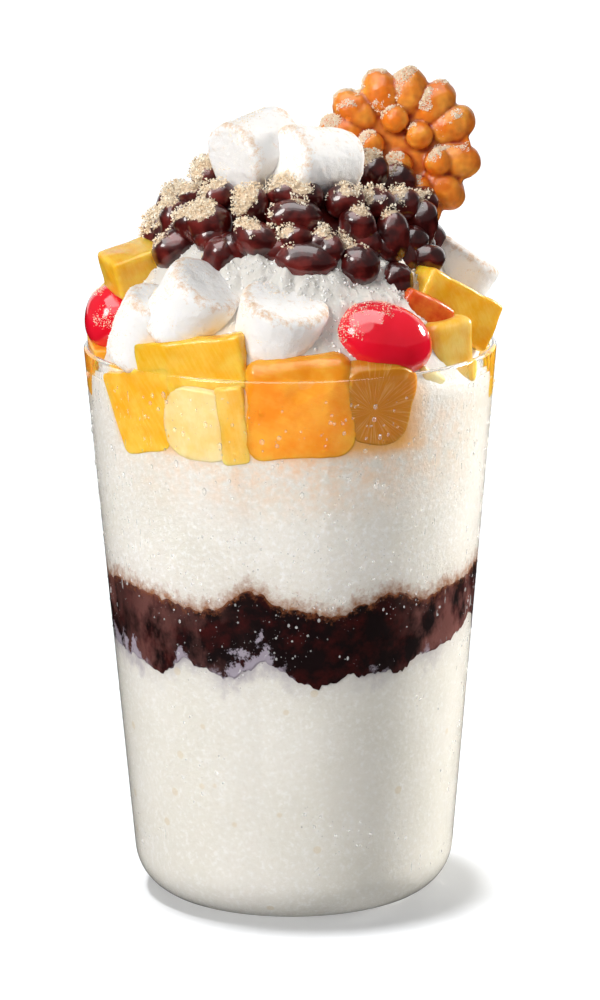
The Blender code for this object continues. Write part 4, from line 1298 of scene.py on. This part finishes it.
def bean_layout():
    """Middle, length, thickness and turn of every bean: the front ones, then the others."""
    beans = []
    for across, up, length, thickness, turn in BEANS:
        spot = Vector((across * MM, front_of_heap(across * MM, up * MM), up * MM))
        beans.append((spot, length * MM, thickness * MM, math.radians(turn)))
    for number in range(FILLER_BEANS):
        radius = HEAP_RADIUS * math.sqrt((number + 0.5) / FILLER_BEANS)
        across = HEAP_MIDDLE.x + radius * math.cos(number * GOLDEN_ANGLE)
        deep = HEAP_DEEP * radius * math.sin(number * GOLDEN_ANGLE)
        spot = Vector((across, deep, heap_height(across, deep)))
        if min((spot - bean[0]).length for bean in beans) < FILLER_SPACING:
            continue
        beans.append((spot, (9.0 + 1.5 * math.sin(3.7 * number)) * MM, 7.4 * MM, 2.1 * number))
    for number in range(UNDER_BEANS):
        way = number * GOLDEN_ANGLE
        sink = (0.3 + 0.7 * ((number * 0.37) % 1)) * UNDER_REACH
        spot = HEAP_MIDDLE + Vector((
            0.93 * HEAP_HALF.x * math.cos(way), 0.93 * HEAP_HALF.y * math.sin(way), UNDER_REACH - sink))
        beans.append((spot, 9 * MM, 7 * MM, 1.7 * number))
    return beans


print(len(BEANS), "beans placed at the front, up to", FILLER_BEANS + UNDER_BEANS, "others")

# %% [markdown]
# A cooked bean is a blunt oval with a dent along one side, where it hung in the pod.

# %% One bean
bpy.ops.object.select_all(action="DESELECT")
bpy.ops.mesh.primitive_uv_sphere_add(segments=28, ring_count=18, radius=0.5, rotation=(0, math.pi / 2, 0))
bean = named("bean")
in_order(bean)
settle(bean)
for corner in bean.data.vertices:
    blunt = 1 + 0.16 * (1 - abs(2 * corner.co.x)) * abs(2 * corner.co.x)
    dent = math.exp(-(corner.co.x / 0.22) ** 2 - ((corner.co.z + 0.5) / 0.25) ** 2)
    corner.co.y *= blunt
    corner.co.z = corner.co.z * blunt + 0.06 * dent

# %% [markdown]
# Each copy is rolled about its long axis, stretched to its own length and thickness, turned in the
# front view and set down, a little fatter than its place, so that the beans press together.

# %% Laying the beans
FATTER = Vector((0.5, 0.7, 0.7)) * MM
laid = []
for number, (spot, length, thickness, turn) in enumerate(bean_layout()):
    take(bean)
    bpy.ops.object.duplicate()
    copy = bpy.context.object
    roll = Matrix.Rotation(2.4 * number, 3, "X")
    grow = Matrix.Diagonal(Vector((length, thickness, thickness)) + FATTER)
    copy.data.transform((Matrix.Rotation(-turn, 3, "Y") @ grow @ roll).to_4x4())
    copy.data.transform(Matrix.Translation(spot))
    laid.append(copy)
bpy.data.objects.remove(bean)
for copy in laid:
    copy.select_set(True)
bpy.context.view_layer.objects.active = laid[0]
bpy.ops.object.join()
beans = named("cooked_red_beans")
settle(beans)
uneven(beans, 3.0 * MM, 0.35 * MM, 11)
print(len(laid), "beans laid")

# %% [markdown]
# Between the beans one sees no daylight but dark mash and syrup: a lumpy egg shape fills the heap.

# %% The core
bpy.ops.object.select_all(action="DESELECT")
bpy.ops.mesh.primitive_uv_sphere_add(segments=96, ring_count=48, radius=1.0, location=HEAP_MIDDLE)
core = named("bean_mash_core")
in_order(core)
core.scale = HEAP_HALF * 0.97
settle(core)
uneven(core, 5 * MM, 1.6 * MM, 3)

# %% [markdown]
# Where powder lies thinly it is a film and not grains. Its share at a corner is kept as a number,
# and specks break it up.

# %% A film of powder
def powdered(tree, place, colour, roughness):
    """Cover a colour with powder where the piece carries the note "powder".

    Gives the colour, the roughness and how much of the bare surface is left."""
    note = put(tree, "Attribute", {}, attribute_name="powder")
    specks = put(tree, "TexNoise", {"Vector": place, "Scale": 1 / (0.6 * MM), "Detail": 5.0,
                                    "Roughness": 0.7})
    both = put(tree, "Math", {0: note.outputs["Fac"], 1: specks.outputs[0]}, operation="ADD")
    share = put(tree, "MapRange", {"Value": both.outputs[0], "From Min": 0.84, "From Max": 1.10,
                                   "To Max": 0.8})
    covered = put(tree, "Mix", {FACTOR: share.outputs[0], COLOUR_A: colour,
                                COLOUR_B: linear("#F3DCBC")}, data_type="RGBA")
    dry = put(tree, "MapRange", {"Value": share.outputs[0], "To Min": roughness, "To Max": 0.95})
    bare = put(tree, "MapRange", {"Value": share.outputs[0], "To Min": 1.0, "To Max": 0.0})
    return covered.outputs[COLOUR_OUT], dry.outputs[0], bare.outputs[0]


# %% [markdown]
# The skins are dark red, mottled and a little wrinkled, and a coat of syrup makes them shine. Under
# powder the coat is gone.

# %% Bean skin in syrup
bean_skin, tree, place = new_material("cooked red bean in syrup")
mottle = put(tree, "TexNoise", {"Vector": place, "Scale": 1 / (3.5 * MM), "Detail": 3.0})
share = put(tree, "MapRange", {"Value": mottle.outputs[0], "From Min": 0.42, "From Max": 0.68})
colour = put(tree, "Mix", {FACTOR: share.outputs[0], COLOUR_A: linear("#360606"),
                           COLOUR_B: linear("#70201B")}, data_type="RGBA")
wrinkles = put(tree, "TexNoise", {"Vector": place, "Scale": 1 / (1.4 * MM), "Detail": 3.0})
bump = put(tree, "Bump", {"Height": wrinkles.outputs[0], "Strength": 0.25, "Distance": 0.3 * MM})
colour, roughness, bare = powdered(tree, place, colour.outputs[COLOUR_OUT], 0.3)
skin = put(tree, "BsdfPrincipled", {
    "Base Color": colour, "Roughness": roughness, "IOR": 1.42,
    "Coat Weight": bare, "Coat Roughness": 0.04, "Normal": bump.outputs[0]})
put(tree, "OutputMaterial", {"Surface": skin.outputs[0]})
show(beans, bean_skin, "red_bean", "bean_heap")
show(core, bean_skin, "red_bean", "bean_heap")

# %% [markdown]
# ## Loose ice
#
# On the open mound the shavings lie loose, as small pale chips.

# %% Chips of ice
CHIPS = 6500
CHIPS_FROM = 123 * MM               # up from just under the rim
CHIPS_WITHIN = 41 * MM
draw = np.random.default_rng(7)
chip = crumb_shape(0.9, draw)
spots, ways = surface_spots([upper_ice], 40000, draw)
within = np.hypot(spots[:, 0], spots[:, 1]) < CHIPS_WITHIN
keep = (ways[:, 2] > 0.2) & (spots[:, 2] > CHIPS_FROM) & within
spots, ways = spots[keep][:CHIPS], ways[keep][:CHIPS]
broad = 0.25 + 0.55 * draw.random(len(spots)) ** 2
sizes = broad[:, None] * (0.6 + 0.8 * draw.random((len(spots), 3))) * MM
chips = strew("loose_ice_chips", chip, spots, ways, sizes, draw)
loose_ice, tree, place = new_material("loose shaved ice")
glow = put(tree, "BsdfPrincipled", {
    "Base Color": linear("#FDFBF8"), "Roughness": 0.25, "IOR": 1.31,
    "Subsurface Weight": 0.3, "Subsurface Radius": (1.0, 0.97, 0.94), "Subsurface Scale": 0.5 * MM})
put(tree, "OutputMaterial", {"Surface": glow.outputs[0]})
show(chips, loose_ice, "milk_ice", "upper_milk_ice")

# %% [markdown]
# ## Roasted grain powder
#
# A beige powder of roasted grain was shaken over the top from above. It stays where a surface looks
# up and nothing covers it, in clumps of crumbs under a millimetre.

# %% What lies open to the sky
toppings = marshmallows + cherries + list(fruit.values()) + [waffle, beans]
cover_corners, cover_faces = [], []
for piece in toppings:
    first = len(cover_corners)
    cover_corners += [corner.co.copy() for corner in piece.data.vertices]
    cover_faces += [[first + place for place in face.vertices] for face in piece.data.polygons]
cover = BVHTree.FromPolygons(cover_corners, cover_faces)
print(len(toppings), "toppings give cover")


def open_above(spots, ways, lift=0.6 * MM):
    """True where a thing falling almost straight down would reach the spot."""
    fall = Vector((-0.12, -0.10, 1.0)).normalized()
    return np.array([
        cover.ray_cast(Vector(spot) + Vector(way) * lift, fall)[0] is None
        for spot, way in zip(spots, ways)])


def powder_share(spots, ways, patch_size, least, rise, seed):
    """How much of the powder lies at each spot, 0 to 1: in patches, on what looks up and is open."""
    facing = np.array(ways) @ np.array(Vector((-0.60, -0.22, 0.78)).normalized())
    patch = patches(spots, patch_size, seed) + 0.4 * patches(spots, patch_size / 3, seed + 1)
    higher = rise * (np.array([spot[2] for spot in spots]) / MM - 150)
    share = np.clip((facing + 0.9 * patch + higher - least) / 0.38, 0.0, 1.0)
    lying = np.flatnonzero(share > 0)
    share[lying] *= open_above([spots[place] for place in lying], [ways[place] for place in lying])
    return share


def powder_on(name, pieces, count, most, patch_size, least, rise, coarse, heap, seed, slot_name, node):
    """A film of powder as a note on the pieces, and loose grains on top, heaped to this depth."""
    for piece in pieces:
        spots = [corner.co.copy() for corner in piece.data.vertices]
        ways = [corner.normal.copy() for corner in piece.data.vertices]
        film = powder_share(spots, ways, patch_size, least, rise, seed)
        keep_note(piece, "powder", film)
    draw = np.random.default_rng(seed)
    spots, ways = surface_spots(pieces, count, draw)
    share = powder_share(spots, ways, patch_size, least, rise, seed)
    keep = draw.random(count) < share
    spots, ways, share = spots[keep][:most], ways[keep][:most], share[keep][:most]
    depth = 0.12 * coarse + heap * draw.random(len(spots)) * share ** 2
    broad = coarse * (0.5 + 0.9 * draw.random(len(spots)) ** 3)
    sizes = broad[:, None] * (0.7 + 0.6 * draw.random((len(spots), 3)))
    powder = strew(name, grain, spots + ways * depth[:, None], ways, sizes, draw)
    show(powder, roasted_powder, slot_name, node)
    take(powder)
    bpy.ops.object.shade_flat()


# %% [markdown]
# The flour is dry and matt, cream to pale beige, and too fine to show grain by grain. Each grain
# here is a cone of four sides, a few tenths of a millimetre wide, that stands for a pinch of it.

# %% Roasted powder
bpy.ops.object.select_all(action="DESELECT")
bpy.ops.mesh.primitive_cone_add(vertices=4, radius1=0.55, depth=0.8)
grain = named("crumb_of_powder")
roasted_powder, tree, place = new_material("roasted grain powder")
grain_tone = put(tree, "TexNoise", {"Vector": place, "Scale": 1 / (1.5 * MM), "Detail": 3.0})
share = put(tree, "MapRange", {"Value": grain_tone.outputs[0], "From Min": 0.35, "From Max": 0.65})
colour = put(tree, "Mix", {FACTOR: share.outputs[0], COLOUR_A: linear("#FFEBCC"),
                           COLOUR_B: linear("#FFF8E8")}, data_type="RGBA")
dry = put(tree, "BsdfPrincipled", {
    "Base Color": colour.outputs[COLOUR_OUT], "Roughness": 0.9, "Specular IOR Level": 0.2})
put(tree, "OutputMaterial", {"Surface": dry.outputs[0]})
print(grain.name, len(grain.data.polygons), "faces")

# %% [markdown]
# The beans carry the most, in clumps, and more the higher they lie. The waffle has a fine film with
# grains on it, and the cherries and marshmallows have a light dusting.

# %% Shaking the powder on
# Piece, what carries it, draws, most grains, patch size in mm, least share, rise for each mm of
# height, grain and heap in mm, seed, and the slot and solid it goes with.
POWDER = (
    ("powder_on_beans", [beans], 150000, 28000, 6, 0.84, 0.030, 0.54, 1.3, 21, "red_bean", "bean_heap"),
    ("powder_on_waffle", [waffle], 150000, 22000, 4, 0.64, 0.0, 0.30, 0.35, 22, "waffle", "bubble_waffle"),
    ("powder_on_cherries", cherries, 30000, 4600, 6, 0.66, 0.0, 0.26, 0.1, 23, "cherry", "cherry_right"),
    ("powder_on_marshmallows", marshmallows, 40000, 5000, 5, 0.62, 0.0, 0.24, 0.05, 24,
     "marshmallow", "marshmallow_top_left"))
for name, carriers, draws, most, patch_size, least, rise, coarse, heap, seed, slot_name, node in POWDER:
    powder_on(name, carriers, draws, most, patch_size * MM, least, rise, coarse * MM, heap * MM, seed,
              slot_name, node)

# %% [markdown]
# ## Dew
#
# The glass is cold, so water gathers on its outside in beads, and a few have run down.

# %% Beads of dew
BEADS = 5000
DEW_LOW, DEW_HIGH = 9 * MM, 121 * MM
RUN_WIDE = 0.10 * MM
draw = np.random.default_rng(31)
bpy.ops.object.select_all(action="DESELECT")
bpy.ops.mesh.primitive_uv_sphere_add(segments=6, ring_count=4, radius=1.0)
bead = named("crumb_bead")
in_order(bead)
spots, ways = surface_spots([glass], 60000, draw)
out = np.hypot(spots[:, 0], spots[:, 1])
outside = np.array([wall_radius(height) for height in spots[:, 2]]) - 0.3 * MM
keep = (out > outside) & (spots[:, 2] > DEW_LOW) & (spots[:, 2] < DEW_HIGH)
spots, ways = spots[keep], ways[keep]
sparse = 0.5 * (spots[:, 2] < 60 * MM)
keep = patches(spots, 14 * MM, 9) + 0.5 * patches(spots, 4 * MM, 8) - sparse > -0.25
spots, ways = spots[keep][:BEADS], ways[keep][:BEADS]
broad = (0.055 + 0.33 * draw.random(len(spots)) ** 6) * MM
degrees = np.degrees(np.arctan2(spots[:, 0], -spots[:, 1]))
coldest = (spots[:, 2] > 98 * MM) & (draw.random(len(spots)) < 0.12)
broad = np.where(coldest, (0.25 + 0.35 * draw.random(len(spots))) * MM, broad)
near_side = (np.abs(degrees) > 42) & (np.abs(degrees) < 84)
runs = near_side & (draw.random(len(spots)) < 0.16)
tall = np.where(runs, 4 + 12 * draw.random(len(spots)) ** 2, 1 + 0.9 * draw.random(len(spots)) ** 3)
wide = np.where(runs, RUN_WIDE, broad)
sizes = np.stack([wide, wide * tall, broad * 0.55], axis=1)
dew_drops = strew("dew_on_glass", bead, spots, ways, sizes, draw, tumbled=False)

# %% [markdown]
# The beads are water mixed with matt white, which stands for painted glints: they show as white dots, more so
# below 92 mm.

# %% Water with painted glints
dew_water, tree, place = new_material("beads of water with painted glints")
parts = put(tree, "SeparateXYZ", {0: place})
clear_above = put(tree, "MapRange", {"Value": parts.outputs[2], "From Min": 92 * MM, "From Max": 98 * MM,
                                     "To Min": 0.74, "To Max": 0.92})
water = put(tree, "BsdfPrincipled", {
    "Base Color": linear("#FFFFFF"), "Roughness": 0.05, "IOR": 1.33,
    "Transmission Weight": clear_above.outputs[0]})
lets_lamps_through(tree, water)
show(dew_drops, dew_water, "glass", "dessert_glass")

# %% [markdown]
# ## What each lamp lights
#
# The lamps at the sides would throw long shadows over the table, so light linking gives each lamp
# a list of the pieces that it lights. The table's own lamp is held back by the lower ice alone, so
# its shadow stays small. The lamp at the right leaves out what would turn too pale beside it, and
# the core of the key and the soft light from above are for what stands over the rim.

# %% A list of pieces for each lamp
def lights_only(lamp, pieces, name):
    """Let a lamp light these pieces and no others."""
    listed = bpy.data.collections.new(name)
    for piece in pieces:
        listed.objects.link(piece)
    lamp.light_linking.receiver_collection = listed


fillings = [glass, dew_drops, lower_ice, paste, upper_ice]
powders = [piece for piece in bpy.data.objects if piece.name.startswith("powder_")]
above_rim = toppings + [core, chips] + powders
beside = fillings + cherries + list(fruit.values()) + marshmallows[:6]
key, key_core, right_light, top_fill = lamps
lights_only(key, fillings + above_rim, "lit by the key")
lights_only(key_core, above_rim, "lit by the core of the key")
lights_only(right_light, beside, "lit from the right")
lights_only(top_fill, above_rim, "lit from above")
lights_only(table_light, [floor], "lit by the table's lamp")
shading = bpy.data.collections.new("what shades the table")
shading.objects.link(lower_ice)
table_light.light_linking.blocker_collection = shading
print(len(fillings), "fillings,", len(above_rim), "pieces over the rim,", len(beside), "lit from the right")

# %% [markdown]
# ## Done
#
# The form of the glass's inside was only a tool.

# %% Finish
for tool in [inside_form] + [piece for piece in bpy.data.objects if piece.name.startswith("crumb")]:
    bpy.data.objects.remove(tool)
pieces = fillings + above_rim
triangles = sum(len(face.vertices) - 2 for piece in pieces for face in piece.data.polygons)
print(len(pieces), "pieces,", triangles, "triangles")
